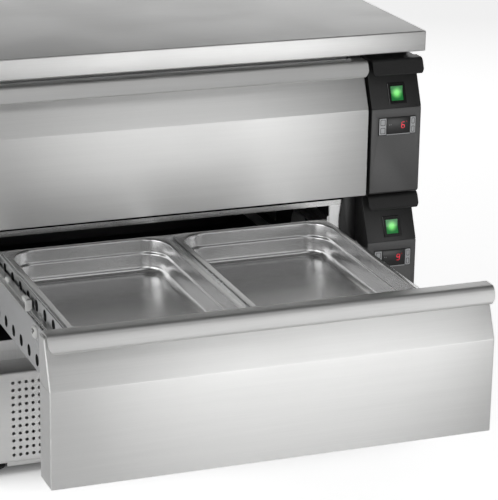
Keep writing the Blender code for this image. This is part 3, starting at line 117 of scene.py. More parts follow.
def addPrism(bm, outline, axis, start, end):
    low, high = sorted((start, end))
    base = bm.faces.new([bm.verts.new(pointOn(axis, point, low)) for point in outline])
    grown = bmesh.ops.extrude_face_region(bm, geom=[base])
    bmesh.ops.translate(bm, verts=newVerts(grown), vec=Vector(pointOn(axis, (0, 0), high - low)))


# Edges of a rounded rectangle square to the axis
def roundLoop(bm, axis, centre, halves, radius, along, segments):
    signs = ((-1, -1), (1, -1), (1, 1), (-1, 1))
    corners = [(centre[0] + u * halves[0], centre[1] + v * halves[1]) for u, v in signs]
    verts = [bm.verts.new(pointOn(axis, corner, along)) for corner in corners]
    bm.faces.new(verts)
    made = bmesh.ops.bevel(bm, geom=verts, offset=radius, offset_type="OFFSET", segments=segments,
        profile=0.5, affect="VERTICES", clamp_overlap=True, material=-1)
    face = made["verts"][0].link_faces[0]
    edges = list(face.edges)
    bmesh.ops.delete(bm, geom=[face], context="FACES_ONLY")
    return edges


# A skin from loop to loop, closed at the first, the last or both
def skinLoops(bm, loops, ends=(0, -1)):
    for one, other in zip(loops, loops[1:]):
        bmesh.ops.bridge_loops(bm, edges=one + other)
    for end in ends:
        bmesh.ops.contextual_create(bm, geom=loops[end])


# A skin over rounded rectangles, each given by its inset and its distance from the start along the axis
def roundStack(bm, axis, centre, halves, section, start, radius, sign=1, segments=4, ends=(0, -1), shrink=0):
    loops = []
    for inset, away in section:
        inner = (halves[0] - inset, halves[1] - inset)
        along = start + sign * away
        loops.append(roundLoop(bm, axis, centre, inner, radius - inset * shrink, along, segments))
    skinLoops(bm, loops, ends)


# A closed outline with its corners rounded; a corner that turns less than this angle stays as it is
straightAngle = 0.04


def roundPoints(outline, radii, steps):
    points = []
    for index, (corner, radius) in enumerate(zip(outline, radii)):
        here = Vector(corner)
        back = (Vector(outline[index - 1]) - here).normalized()
        ahead = (Vector(outline[(index + 1) % len(outline)]) - here).normalized()
        if radius <= 0 or math.pi - back.angle(ahead) < straightAngle:
            points.append(tuple(here))
            continue
        half = back.angle(ahead) / 2
        middle = here + (back + ahead).normalized() * (radius / math.sin(half))
        start = here + back * (radius / math.tan(half)) - middle
        swing = start.angle_signed(here + ahead * (radius / math.tan(half)) - middle)
        for step in range(steps + 1):
            points.append(tuple(middle + Matrix.Rotation(-swing * step / steps, 2) @ start))
    return points


# An open path with the corners between its ends rounded by the given radii
def openPoints(path, radii, steps):
    away = [(path[-1][0] + 1, path[-1][1] + 2), (path[0][0] - 1, path[0][1] - 3)]
    return roundPoints(list(path) + away, [0, *radii, 0, 0, 0], steps)[:-2]


# A sheet's middle surface: an open path swept along the axis
def addStrip(bm, path, axis, low, high):
    verts = [bm.verts.new(pointOn(axis, point, low)) for point in path]
    edges = [bm.edges.new(pair) for pair in zip(verts, verts[1:])]
    far = newVerts(bmesh.ops.extrude_edge_only(bm, edges=edges))
    bmesh.ops.translate(bm, verts=far, vec=Vector(pointOn(axis, (0, 0), high - low)))
    return verts + far


# A flat plate square to the axis with round holes at the given centres
def addHoledPlate(bm, axis, low, high, along, centres, radius, segments):
    corners = [low, (high[0], low[1]), high, (low[0], high[1])]
    verts = [bm.verts.new(pointOn(axis, point, along)) for point in corners]
    edges = [bm.edges.new((verts[index - 1], verts[index])) for index in range(4)]
    for centre in centres:
        edges += addRing(bm, axis, centre, radius, along, segments)
    bmesh.ops.triangle_fill(bm, use_beauty=True, use_dissolve=False, edges=edges,
        normal=Vector(pointOn(axis, (0, 0), 1)))


# Vertices nearer than this are one
weldReach = 1e-6


def joinMesh(bm, other):
    mesh = bpy.data.meshes.new("joined")
    other.to_mesh(mesh)
    other.free()
    bm.from_mesh(mesh)
    bpy.data.meshes.remove(mesh)


def closeAll(bm):
    bmesh.ops.remove_doubles(bm, verts=bm.verts, dist=weldReach)
    bmesh.ops.recalc_face_normals(bm, faces=bm.faces)


def addObject(name, data):
    made = bpy.data.objects.new(name, data)
    bpy.context.scene.collection.objects.link(made)
    return made


def makePiece(name, bm, body, finish, slotName, replaced=(), place=None, thick=0.0, edge=0.0, smooth=35,
        crisp=False):
    closeAll(bm)
    if place is not None:
        bmesh.ops.translate(bm, verts=bm.verts, vec=place)
    mesh = bpy.data.meshes.new(name)
    bm.to_mesh(mesh)
    bm.free()
    piece = addObject(name, mesh)
    mesh.shade_smooth()
    mesh.set_sharp_from_angle(angle=math.radians(smooth))
    mesh.materials.append(materials[finish])
    if thick:
        wall = piece.modifiers.new("sheet", "SOLIDIFY")
        wall.thickness = thick
        wall.offset = 0.0
        wall.use_even_offset = True
    if crisp:   # the wall becomes real mesh, so that the edges of its holes shade sharp
        bpy.context.view_layer.update()
        solid = bpy.data.meshes.new_from_object(piece.evaluated_get(bpy.context.evaluated_depsgraph_get()))
        solid.name = name
        piece.modifiers.clear()
        piece.data = solid
        solid.set_sharp_from_angle(angle=math.radians(smooth))
    if edge:
        bevel = piece.modifiers.new("edges", "BEVEL")
        bevel.width = edge
        bevel.segments = 2
        bevel.limit_method = "ANGLE"
        bevel.angle_limit = math.radians(40)
        bevel.harden_normals = True
    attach(piece, body)
    if replaced:
        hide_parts(*replaced)


def drawerPiece(drawer, part, bm, finish, slotName, replaced=(), **shape):
    makePiece(f"{drawer}_{part}", bm, f"{drawer}_drawer", finish, slotName, replaced, drawerPlace(drawer),
        **shape)


def modulePiece(module, part, bm, finish, slotName, replaced=(), **shape):
    makePiece(f"{module}_{part}", bm, "cabinet", finish, slotName, replaced, modulePlace(module), **shape)


# Nodes

def wire(tree, kind, inputs=None, **settings):
    made = tree.nodes.new(kind)
    for key, value in settings.items():
        setattr(made, key, value)
    for key, value in (inputs or {}).items():
        if isinstance(value, bpy.types.NodeSocket):
            tree.links.new(value, made.inputs[key])
        else:
            made.inputs[key].default_value = value
    return made


def noise(tree, vector, scale, detail, roughness):
    inputs = {"Vector": vector, "Scale": scale, "Detail": detail, "Roughness": roughness}
    return wire(tree, "ShaderNodeTexNoise", inputs).outputs["Fac"]


def cells(tree, vector, scale, **settings):
    return wire(tree, "ShaderNodeTexVoronoi", {"Vector": vector, "Scale": scale}, **settings).outputs


def mapRange(tree, value, low, high, newLow=0.0, newHigh=1.0, **settings):
    inputs = {"Value": value, "From Min": low, "From Max": high, "To Min": newLow, "To Max": newHigh}
    return wire(tree, "ShaderNodeMapRange", inputs, **settings).outputs["Result"]


def maths(tree, operation, first, second):
    return wire(tree, "ShaderNodeMath", {0: first, 1: second}, operation=operation).outputs[0]


def scaled(tree, vector, factors):
    return wire(tree, "ShaderNodeVectorMath", {0: vector, 1: factors}, operation="MULTIPLY").outputs[0]


def weighted(tree, first, second, share):
    parts = ((first, share), (second, 1 - share))
    return maths(tree, "ADD", *(maths(tree, "MULTIPLY", value, part) for value, part in parts))


# Fine grain of a brushed sheet: Stretch is how often it changes along X, Y and Z
def brushedGrain(tree, given):
    spread = scaled(tree, given["Vector"], given["Stretch"])
    fine = noise(tree, spread, 1.0, 4.0, 0.7)
    broad = noise(tree, scaled(tree, spread, (0.6, 0.11, 0.11)), 1.0, 2.0, 0.5)
    return {"Streaks": mapRange(tree, weighted(tree, fine, broad, 0.65), 0.32, 0.68), "Height": fine}


# Slow changes over a surface, such as smears left by a cloth
def softClouds(tree, given):
    cloud = noise(tree, given["Vector"], given["Scale"], 3.0, 0.5)
    return {"Mask": mapRange(tree, cloud, given["Low"], given["High"], interpolation_type="SMOOTHSTEP")}


# Zinc crystals
def zincSpangle(tree, given):
    crystals = cells(tree, given["Vector"], given["Scale"])["Color"]
    tone = wire(tree, "ShaderNodeSeparateColor", {"Color": crystals}).outputs[0]
    return {"Tone": weighted(tree, tone, noise(tree, given["Vector"], 700.0, 2.0, 0.6), 0.7), "Height": tone}


# Texture of a moulded or rolled surface
def mouldGrain(tree, given):
    pits = cells(tree, given["Vector"], given["Scale"])["Distance"]
    haze = noise(tree, given["Vector"], 260.0, 3.0, 0.6)
    return {"Height": weighted(tree, pits, haze, 0.6), "Tone": haze}


# Thin random scratches: long cells with a narrow line in each
def fineScratches(tree, given):
    bend = scaled(tree, given["Vector"], given["Stretch"])
    lines = cells(tree, bend, 1.0, feature="DISTANCE_TO_EDGE")["Distance"]
    nearLine = mapRange(tree, lines, 0.0, given["Width"], 1.0, 0.0)
    broken = mapRange(tree, noise(tree, bend, 0.6, 2.0, 0.5), 0.5, 0.6)
    return {"Mask": maths(tree, "MULTIPLY", nearLine, broken)}


# A shader node group: its builder gets the tree and the group's inputs, and gives the outputs by name
def newGroup(build, **inputs):
    group = bpy.data.node_groups.new(build.__name__, "ShaderNodeTree")
    for label, value in {"Vector": (0.0, 0.0, 0.0), **inputs}.items():
        kind = "NodeSocketVector" if isinstance(value, tuple) else "NodeSocketFloat"
        group.interface.new_socket(label, in_out="INPUT", socket_type=kind).default_value = value
    outputs = build(group, group.nodes.new("NodeGroupInput").outputs)
    for label in outputs:
        group.interface.new_socket(label, in_out="OUTPUT", socket_type="NodeSocketFloat")
    end = group.nodes.new("NodeGroupOutput")
    for label, value in outputs.items():
        group.links.new(value, end.inputs[label])
    return group


groups = {
    "brushedGrain": newGroup(brushedGrain, Stretch=(4.0, 900.0, 900.0)),
    "softClouds": newGroup(softClouds, Scale=6.0, Low=0.4, High=0.65),
    "zincSpangle": newGroup(zincSpangle, Scale=90.0),
    "mouldGrain": newGroup(mouldGrain, Scale=1400.0),
    "fineScratches": newGroup(fineScratches, Stretch=(120.0, 9.0, 9.0), Width=0.04),
}
print("node groups:", ", ".join(sorted(groups)))


materials = {}


# A material with its Principled shader; the sockets take the values that are the same all over
def newMaterial(name, metallic=0.0, **sockets):
    materials[name] = bpy.data.materials.new(name)
    materials[name].use_nodes = True
    tree = materials[name].node_tree
    shader = tree.nodes["Principled BSDF"]
    for key, value in {"Metallic": metallic, **sockets}.items():
        shader.inputs[key].default_value = value
    return tree, shader, wire(tree, "ShaderNodeTexCoord").outputs["Object"]


def useGroup(tree, name, **inputs):
    return wire(tree, "ShaderNodeGroup", inputs, node_tree=groups[name]).outputs


def mixColours(tree, factor, first, second):
    return wire(tree, "ShaderNodeMix", {"Factor": factor, 6: first, 7: second}, data_type="RGBA").outputs[2]


def grey(value, tint=(1.0, 1.0, 1.0)):
    return (value * tint[0], value * tint[1], value * tint[2], 1.0)


# Links what changes over the surface to the shader, the height through a bump
def dress(tree, shader, colour, rough, height, strength, distance):
    tree.links.new(colour, shader.inputs["Base Color"])
    if rough is not None:
        tree.links.new(rough, shader.inputs["Roughness"])
    bump = wire(tree, "ShaderNodeBump", {"Height": height, "Strength": strength, "Distance": distance})
    tree.links.new(bump.outputs["Normal"], shader.inputs["Normal"])


# How each texture changes a surface: the output that is its tone, that tone's range, the change of the
# roughness over it, the smears' scale and limits, their change of the roughness, and the bump's distance
textures = {
    "brushedGrain": ("Streaks", (0.0, 1.0), (-0.02, 0.03), (5.0, 0.38, 0.66), 0.025, 0.0002),
    "zincSpangle": ("Tone", (0.0, 1.0), (-0.05, 0.07), (9.0, 0.4, 0.7), 0.05, 0.0001),
    "mouldGrain": ("Tone", (0.3, 0.7), (-0.04, 0.04), (11.0, 0.45, 0.75), -0.06, 0.0001),
}


def textured(tree, shader, place, texture, given, dark, light, rough, bump, roughSpan=None, smeared=None):
    tone, limits, span, clouds, change, distance = textures[texture]
    made = useGroup(tree, texture, Vector=place, **given)
    low, high = roughSpan or span
    smear = useGroup(tree, "softClouds", Vector=place, Scale=clouds[0], Low=clouds[1], High=clouds[2])["Mask"]
    finish = maths(tree, "ADD", mapRange(tree, made[tone], *limits, rough + low, rough + high),
        maths(tree, "MULTIPLY", smear, smeared or change))
    dress(tree, shader, mixColours(tree, made[tone], dark, light), finish, made["Height"], bump, distance)


# Brushed stainless sheet; a grain along X blurs reflections across it, up a face and backwards on a top
def sheetSteel(name, dark, light, rough, stretch, spread=0.0):
    tree, shader, place = newMaterial(name, 1.0)
    if spread:
        shader.inputs["Anisotropic"].default_value = spread
        across = wire(tree, "ShaderNodeCombineXYZ", {"Y": 1.0, "Z": 1.0})
        tree.links.new(across.outputs[0], shader.inputs["Tangent"])
    tint = (1.0, 1.0, 0.99)
    textured(tree, shader, place, "brushedGrain", {"Stretch": stretch}, grey(dark, tint), grey(light, tint),
        rough, 0.05)


# Deep-drawn steel: satin, with faint use scratches lengthwise
def drawnSteel(name):
    tree, shader, place = newMaterial(name, 1.0)
    grain = useGroup(tree, "brushedGrain", Vector=place, Stretch=(520.0, 24.0, 520.0))
    scratches = useGroup(tree, "fineScratches", Vector=place, Stretch=(150.0, 9.0, 20.0), Width=0.03)["Mask"]
    tone = mixColours(tree, grain["Streaks"], grey(0.69), grey(0.71))
    colour = mixColours(tree, scratches, tone, grey(0.74))
    finish = mapRange(tree, grain["Streaks"], 0.0, 1.0, 0.25, 0.265)
    dress(tree, shader, colour, finish, grain["Height"], 0.004, 0.0002)


def zincSheet(name, dark, light, rough, scale):
    tint = (0.99, 1.0, 1.01)
    textured(*newMaterial(name, 1.0), "zincSpangle", {"Scale": scale}, grey(dark, tint), grey(light, tint),
        rough, 0.05)


# Moulded plastic, powder coat or rubber, by its grain and gloss
def plastic(name, dark, light, rough, scale=1400.0, bump=0.12, tint=(1.0, 1.0, 1.0), **sockets):
    textured(*newMaterial(name, **sockets), "mouldGrain", {"Scale": scale}, grey(dark, tint),
        grey(light, tint), rough, bump)


# A lit lens or segment: brightest round its middle
def glowing(name, middle, dark, bright, strength, reach):
    tree, shader, place = newMaterial(name, Roughness=0.25)
    away = wire(tree, "ShaderNodeVectorMath", {0: place, 1: middle}, operation="DISTANCE").outputs["Value"]
    fall = mapRange(tree, away, 0.0, reach, 1.0, 0.0, interpolation_type="SMOOTHSTEP")
    colour = mixColours(tree, fall, dark, bright)
    tree.links.new(colour, shader.inputs["Emission Color"])
    shader.inputs["Emission Strength"].default_value = strength
    haze = useGroup(tree, "mouldGrain", Vector=place, Scale=900.0)["Height"]
    dress(tree, shader, colour, None, haze, 0.05, 0.0001)


# A foamed wall: steel outside, and inside the given spans a near-black tone painted on the cold spaces'
# # walls as their shade
def insideOrOut(name, outer, insideShade, spans):
    tree, shader, place = newMaterial(name, 1.0)
    parts = wire(tree, "ShaderNodeSeparateXYZ", {"Vector": place}).outputs
    inCavity = 1.0
    for axis, limits in spans.items():
        for operation, limit in zip(("GREATER_THAN", "LESS_THAN"), limits):
            inCavity = maths(tree, "MULTIPLY", maths(tree, operation, parts[axis], limit), inCavity)
    tones = [mixColours(tree, inCavity, grey(outer[key]), grey(insideShade)) for key in ("dark", "light")]
    tree.links.new(mapRange(tree, inCavity, 0.0, 1.0, 1.0, 0.0), shader.inputs["Metallic"])
    textured(tree, shader, place, "brushedGrain", {"Stretch": outer["stretch"]}, *tones, outer["rough"],
        0.08, (-0.03, 0.05), 0.05)


alongX = (5.0, 900.0, 900.0)
alongY = (900.0, 5.0, 900.0)
alongZ = (900.0, 900.0, 5.0)
# Dark and light tone, roughness, grain, and how far the grain spreads reflections
sheetLooks = {
    "worktopSteel": (0.66, 0.72, 0.36, alongX, 0.75),
    # The drawer faces' stainless, lighter than the other sheets: its own tone plus painted light on the faces
    "frontSteel": (0.82, 0.87, 0.40, alongX, 0.85),
    "pullSteel": (0.69, 0.75, 0.34, alongX, 0.75),
    "baseSteel": (0.70, 0.76, 0.38, alongX, 0.8),
    "coverSteel": (0.60, 0.70, 0.30, alongZ),
    "shelfSteel": (0.62, 0.72, 0.25, alongX),
    "slideSteel": (0.64, 0.74, 0.30, alongY),
    "finAluminium": (0.62, 0.74, 0.36, (300.0, 300.0, 6.0)),
}
# Dark and light tone, roughness, scale and depth of the texture, and tint
plasticLooks = {
    "blackPlastic": (0.016, 0.026, 0.42),
    "blackGloss": (0.010, 0.016, 0.22, 2000.0, 0.04),
    "anthracitePlate": (0.085, 0.105, 0.46, 1800.0, 0.10),
    "screenBlack": (0.012, 0.018, 0.34, 2600.0, 0.01),
    "keyGrey": (0.50, 0.58, 0.42, 1600.0, 0.08, (0.98, 1.0, 1.02)),
    "keyMark": (0.10, 0.13, 0.45, 1600.0, 0.08),
    "whiteNylon": (0.72, 0.80, 0.38, 1500.0, 0.08, (1.0, 1.0, 0.98)),
    "gasketGrey": (0.13, 0.17, 0.62, 700.0, 0.15),
    "rubberBlack": (0.020, 0.034, 0.74, 500.0, 0.25),
    "compressorEnamel": (0.020, 0.032, 0.30, 900.0, 0.10),
}
cabinetLook = {"dark": 0.72, "light": 0.82, "rough": 0.38, "stretch": alongZ}
# The two cold spaces: half their width, and how far they start and end from the faces and the back; tone is
# # the near-black painted shade inside them
cavitySize = {"half": 0.3566, "start": 0.0718, "end": 0.059, "overrun": 0.001, "tone": 0.012}
floorTop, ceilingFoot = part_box("cavity_floor")[1].z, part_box("ceiling_panel")[0].z
cavitySpans = {
    "X": (centreX - cavitySize["half"], centreX + cavitySize["half"]),
    "Y": (facePlane + cavitySize["start"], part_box("worktop")[1].y - cavitySize["end"]),
    "Z": (floorTop - cavitySize["overrun"], ceilingFoot + cavitySize["overrun"]),
}
for build, looks in ((sheetSteel, sheetLooks), (plastic, plasticLooks)):
    for name, look in looks.items():
        build(name, *look)
# A near-black, almost unreflecting sheet, put behind holes and gaps as painted shade
plastic("paintedShadeBlack", 0.003, 0.006, 0.80, 700.0, 0.05, **{"Specular IOR Level": 0.12})
insideOrOut("cabinetSteel", cabinetLook, cavitySize["tone"], cavitySpans)
drawnSteel("panSteel")
zincSheet("sideZinc", 0.62, 0.70, 0.20, 120.0)
zincSheet("trayZinc", 0.46, 0.60, 0.42, 70.0)
print("materials:", len(materials))


# Worktop: a folded steel top with soft edges
worktopSize = {"edge": 0.0024, "segments": 4}


def buildWorktop():
    bm = bmesh.new()
    addBox(bm, *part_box("worktop"))
    bevelSharp(bm, worktopSize["edge"], worktopSize["segments"])
    makePiece("worktop_skin", bm, "cabinet", "worktopSteel", "stainless", ["worktop"])


buildWorktop()
print("worktop done")


# Drawer fronts: a folded shell with two caps let into each end, parted by a seam at the crease
frontSize = {"edge": 0.0013, "cap": 0.0007, "sunk": 0.001, "margin": 0.0011, "seam": 0.0012}


def buildDrawerFront(name):
    slantDepth = (frontTop - creaseHeight) * slantTan
    bm = bmesh.new()
    outline = [(0, 0), (frontThick, 0), (frontThick, frontTop), (slantDepth, frontTop), (0, creaseHeight)]
    reach = halfDrawer - frontSize["cap"]
    addPrism(bm, outline, "x", -reach, reach)
    bevelSharp(bm, frontSize["edge"], 3, 15)
    inner = frontSize["margin"]
    back = frontThick - inner
    seamLow = creaseHeight - frontSize["seam"] / 2
    seamHigh = creaseHeight + frontSize["seam"] / 2
    lean = inner / math.cos(slantAngle)
    upper = [(lean + (seamHigh - creaseHeight) * slantTan, seamHigh), (back, seamHigh),
        (back, frontTop - inner), (slantDepth + lean, frontTop - inner)]
    lower = [(inner, inner), (back, inner), (back, seamLow), (inner, seamLow)]
    for sign in (-1, 1):
        for cap in (lower, upper):
            piece = bmesh.new()
            addPrism(piece, cap, "x", sign * (reach - frontSize["sunk"]), sign * halfDrawer)
            bevelSharp(piece, frontSize["cap"] / 2, 1)
            joinMesh(bm, piece)
    drawerPiece(name, "front_shell", bm, "frontSteel", "stainless", [f"{name}_drawer_front"])


# Pulls: a sheet hooked over the front, leaning like the slant, its lower corners rounded
pullSize = {
    "foot": 0.2384, "sheet": 0.0025, "back": 0.045, "nose": 0.012, "return": 0.005, "corner": 0.015,
    "shortReturn": 0.0165, "legFoot": 0.2563, "edge": 0.0005,
}
# Steps round each bend of a pull, and up its rounded corners
pullSteps = {"bend": 6, "corner": 7}


def addPull(bm, size, lowX, highX):
    half = size["sheet"] / 2
    foot = size["foot"]
    plate = half / math.cos(slantAngle)
    under = drawerHeight - half
    roof = foot + size["corner"]
    headY = (under - foot) * slantTan + plate
    path = [(size["return"], foot + half), (half * slantTan + plate, foot + half), (headY, under),
        (size["back"] - half, under), (size["back"] - half, size["legFoot"])]
    points = openPoints(path, [half, size["nose"] - half, half], pullSteps["bend"])
    # Even steps up the plate, so that its corners can be rounded
    rest = [point for point in points[1:]
        if point[1] < foot + half * 1.5 or point[1] > roof or point[0] > headY]
    points = points[:1] + rest
    firstPlate = max(index for index, point in enumerate(points) if point[1] < foot + size["corner"] * 0.5)
    steps = pullSteps["corner"]
    rise = [foot + half * 2 + (size["corner"] - half * 2) * step / steps for step in range(steps + 1)]
    points[firstPlate + 1:firstPlate + 1] = [((z - foot) * slantTan + plate, z) for z in rise]
    for index, vert in enumerate(addStrip(bm, points, "x", -1, 1)):
        z = points[index % len(points)][1]
        short = 0.0
        if z < roof:
            short = size["corner"] - math.sqrt(max(size["corner"] ** 2 - (roof - max(z, foot)) ** 2, 0))
        if index % len(points) < 2:
            short = size["shortReturn"]
        vert.co.x = (lowX + highX) / 2 + vert.co.x * ((highX - lowX) / 2 - short)


def buildDrawerPull(name):
    bm = bmesh.new()
    addPull(bm, pullSize, -halfDrawer, halfDrawer)
    drawerPiece(name, "pull_sheet", bm, "pullSteel", "stainless", [f"{name}_drawer_lip"],
        thick=pullSize["sheet"], edge=pullSize["edge"])


for name in drawers:
    buildDrawerFront(name)
    buildDrawerPull(name)
print("drawer fronts and pulls done")


# Pans: rolled rim, stacking shoulder, drafted walls and a filleted floor
panSize = {
    "width": 0.325, "length": 0.530, "drop": 0.0423, "spacing": 0.0103, "gap": 0.0003, "sheet": 0.0011,
    "segments": 10, "flange": 0.0118, "corner": 0.050, "shoulderTop": 0.0240, "shoulderFoot": 0.0300,
    "shoulderSteps": 5, "shoulderStep": 0.0024, "draft": 0.0022, "fillet": 0.0145, "filletSteps": 7,
    "depth": 0.0644, "floorCorner": 0.040, "cornerStart": 0.6,
}
# The rolled flange: inset from its outside, height under its top, corner radius
panFlange = (
    (0.0006, 0.0030, 0.018), (0.0006, 0.0016, 0.018), (0.0010, 0.0008, 0.018), (0.0018, 0.0004, 0.019),
    (0.0045, 0.0003, 0.030), (0.0072, 0.0002, 0.041), (0.0092, 0.0001, 0.047), (0.0106, 0.0004, 0.049),
    (0.0114, 0.0013, 0.050), (0.0118, 0.0030, 0.050),
)


# Down the wall: a stacking shoulder that steps inwards, the drafted wall and the floor's fillet
def panStations():
    size = panSize
    stations = list(panFlange)
    steps = size["shoulderSteps"]
    for step in range(steps + 1):
        height = size["shoulderTop"] + step / steps * (size["shoulderFoot"] - size["shoulderTop"])
        ease = (1 - math.cos(math.pi * step / steps)) / 2
        stations.append((size["flange"] + size["shoulderStep"] * ease, height, size["corner"]))
    foot = size["flange"] + size["shoulderStep"] + size["draft"]
    steps, begin = size["filletSteps"], size["cornerStart"]
    for step in range(steps + 1):
        turn = math.pi / 2 * step / steps
        drop = size["depth"] - size["fillet"] * (1 - math.sin(turn))
        share = begin + (1 - begin) * step / steps
        radius = size["corner"] + (size["floorCorner"] - size["corner"]) * share
        stations.append((foot + size["fillet"] * (1 - math.cos(turn)), drop, radius))
    return stations


def buildPan(name, side):
    size = panSize
    bm = bmesh.new()
    across, along = size["width"] / 2, size["length"] / 2
    centre = (sides[side] * (size["spacing"] / 2 + across), frontThick + size["gap"] + along)
    loops = []
    for inset, drop, radius in panStations():
        halves = (across - inset, along - inset)
        height = drawerHeight - size["drop"] - drop
        loops.append(roundLoop(bm, "z", centre, halves, radius, height, size["segments"]))
    skinLoops(bm, loops, (-1,))
    drawerPiece(name, f"{side}_pan_steel", bm, "panSteel", "bright_stainless", [f"{name}_{side}_pan"],
        thick=size["sheet"], smooth=40)


for name in drawers:
    for side in sides:
        buildPan(name, side)
print("pans done")


# Drawer sides: seat, upper plate, ledge and lower plate, folded from one zinc sheet. Each row of holes:
# first hole behind the face, pitch, count and height
sideSize = {
    "sheet": 0.002, "seat": 0.3215, "upper": 0.333, "lower": 0.344, "seatTop": 0.2214, "ledge": 0.1884,
    "bottom": 0.098, "start": 0.0629, "end": 0.600, "fold": 0.0015, "lowerFold": 0.0055, "bend": 0.0012,
    "lowerBend": 0.005, "hole": 0.011, "upperHoles": (0.2239, 0.054, 7, 0.2054),
    "lowerHoles": (0.2933, 0.053, 6, 0.118), "edge": 0.0003,
}
# The tongue in the slide's groove and the tab at the front, from the drawer's middle outwards
tongueSize = {
    "inner": 0.333, "outer": 0.3415, "foot": 0.1915, "head": 0.1941, "tabInner": 0.330,
    "tabOuter": 0.343, "tabThick": 0.002, "tabGap": 0.001,
}
# Dark strips behind the holes, painted shade standing in for the dark inside of the side: thickness, gap,
# # their room at the plates' edges and at the side's ends
paintedShadeSheetSize = {
    "thick": 0.0012, "gap": 0.0003, "upperEdges": (0.0024, 0.0024), "lowerEdges": (0.0010, 0.0016),
    "ends": (0.004, 0.006),
}


def buildDrawerSide(name, side):
    size = sideSize
    sign = sides[side]
    start, end = size["start"], size["end"]
    top = size["seatTop"]
    plateTop, plateLow = top - size["fold"], size["ledge"] + size["fold"]
    lowerTop = size["ledge"] - size["lowerFold"]
    upper, lower, ledgeZ = size["upper"], size["lower"], size["ledge"]
    seat = openPoints([(size["seat"], top), (upper, top), (upper, plateTop)], [size["bend"]], 3)
    ledge = openPoints([(upper, plateLow), (upper, ledgeZ), (lower, ledgeZ), (lower, lowerTop)],
        [size["bend"], size["lowerBend"]], 5)
    bm = bmesh.new()
    for path in (seat, ledge):
        addStrip(bm, [(sign * x, z) for x, z in path], "y", start, end)
    # Near-black sheets behind the holes: painted shade, not a part of the side
    paintedShadeSheets = bmesh.new()
    for plate, low, high in (("upper", plateLow, plateTop), ("lower", size["bottom"], lowerTop)):
        first, pitch, count, height = size[f"{plate}Holes"]
        centres = [(first + index * pitch, height) for index in range(count)]
        addHoledPlate(bm, "x", (start, low), (end, high), sign * size[plate], centres, size["hole"], 28)
        outer = size[plate] - size["sheet"] / 2 - paintedShadeSheetSize["gap"]
        edges, ends = paintedShadeSheetSize[f"{plate}Edges"], paintedShadeSheetSize["ends"]
        addBox(paintedShadeSheets, (sign * outer, start + ends[0], low + edges[0]),
            (sign * (outer - paintedShadeSheetSize["thick"]), end - ends[1], high - edges[1]))
    drawerPiece(name, f"{side}_side_sheet", bm, "sideZinc", "galvanised", [f"{name}_{side}_side"],
        thick=size["sheet"], edge=size["edge"])
    size = tongueSize
    bm = bmesh.new()
    addBox(bm, (sign * size["inner"], start, size["foot"]), (sign * size["outer"], end, size["head"]))
    addBox(bm, (sign * size["tabInner"], start, sideSize["bottom"]),
        (sign * size["tabOuter"], start + size["tabThick"], lowerTop - size["tabGap"]))
    bevelSharp(bm, sideSize["edge"], 1)
    drawerPiece(name, f"{side}_side_tongue", bm, "slideSteel", "slide_steel")
    bevelSharp(paintedShadeSheets, sideSize["edge"], 1)
    drawerPiece(name, f"{side}_side_lining", paintedShadeSheets, "paintedShadeBlack", "black_plastic")


# A clip on each lower plate: middle behind the face, middle height, half length, half height. Its screws
# are placed in shares of the halves
clipSize = {
    "along": 0.300, "height": 0.1685, "halves": (0.012, 0.010), "foot": 0.0002, "proud": 0.0046,
    "shoulder": 0.6, "edge": 0.0010, "corner": 0.006, "screw": 0.0026, "screwGap": 0.0001,
    "screwProud": 0.0006, "screwEdge": 0.0002, "screws": ((-0.35, 0.45), (0.35, 0.45), (0.30, -0.10)),
}


def buildSideClip(name, side):
    size = clipSize
    sign = sides[side]
    face = sideSize["lower"] + sideSize["sheet"] / 2
    bm = bmesh.new()
    section = ((0.0, size["foot"]), (0.0, size["proud"] * size["shoulder"]), (size["edge"], size["proud"]))
    roundStack(bm, "x", (size["along"], size["height"]), size["halves"], section, sign * face,
        size["corner"], sign)
    drawerPiece(name, f"{side}_side_clip", bm, "whiteNylon", "key_grey")
    bm = bmesh.new()
    start = face + size["proud"] + size["screwGap"]
    for along, height in size["screws"]:
        spot = (size["along"] + along * size["halves"][0], size["height"] + height * size["halves"][1])
        addRod(bm, "x", spot, size["screw"], sign * start, sign * (start + size["screwProud"]), 14)
    bevelSharp(bm, size["screwEdge"], 1, 60)
    drawerPiece(name, f"{side}_clip_screws", bm, "blackPlastic", "black_plastic")


for name in drawers:
    for side in sides:
        buildDrawerSide(name, side)
        buildSideClip(name, side)
print("drawer sides done")


# Middle members of the slides: an H section with a nylon end, and a nylon buffer on its top
slideSize = {
    "height": 0.0147, "flange": 0.0015, "web": 0.0016, "edge": 0.0002, "cap": 0.006, "gap": 0.0001,
    "padLength": 0.034, "padHeight": 0.0062, "padInset": 0.0008, "padCorner": 0.005, "padEdge": 0.0010,
    "padShoulder": 0.7, "pin": 0.0024, "pinProud": 0.0014, "pins": (0.18, 0.78), "buffer": 0.011,
    "bufferRise": 0.0068, "bufferWidth": 0.004, "bufferSetback": 0.1362, "softEdge": 0.0006,
}


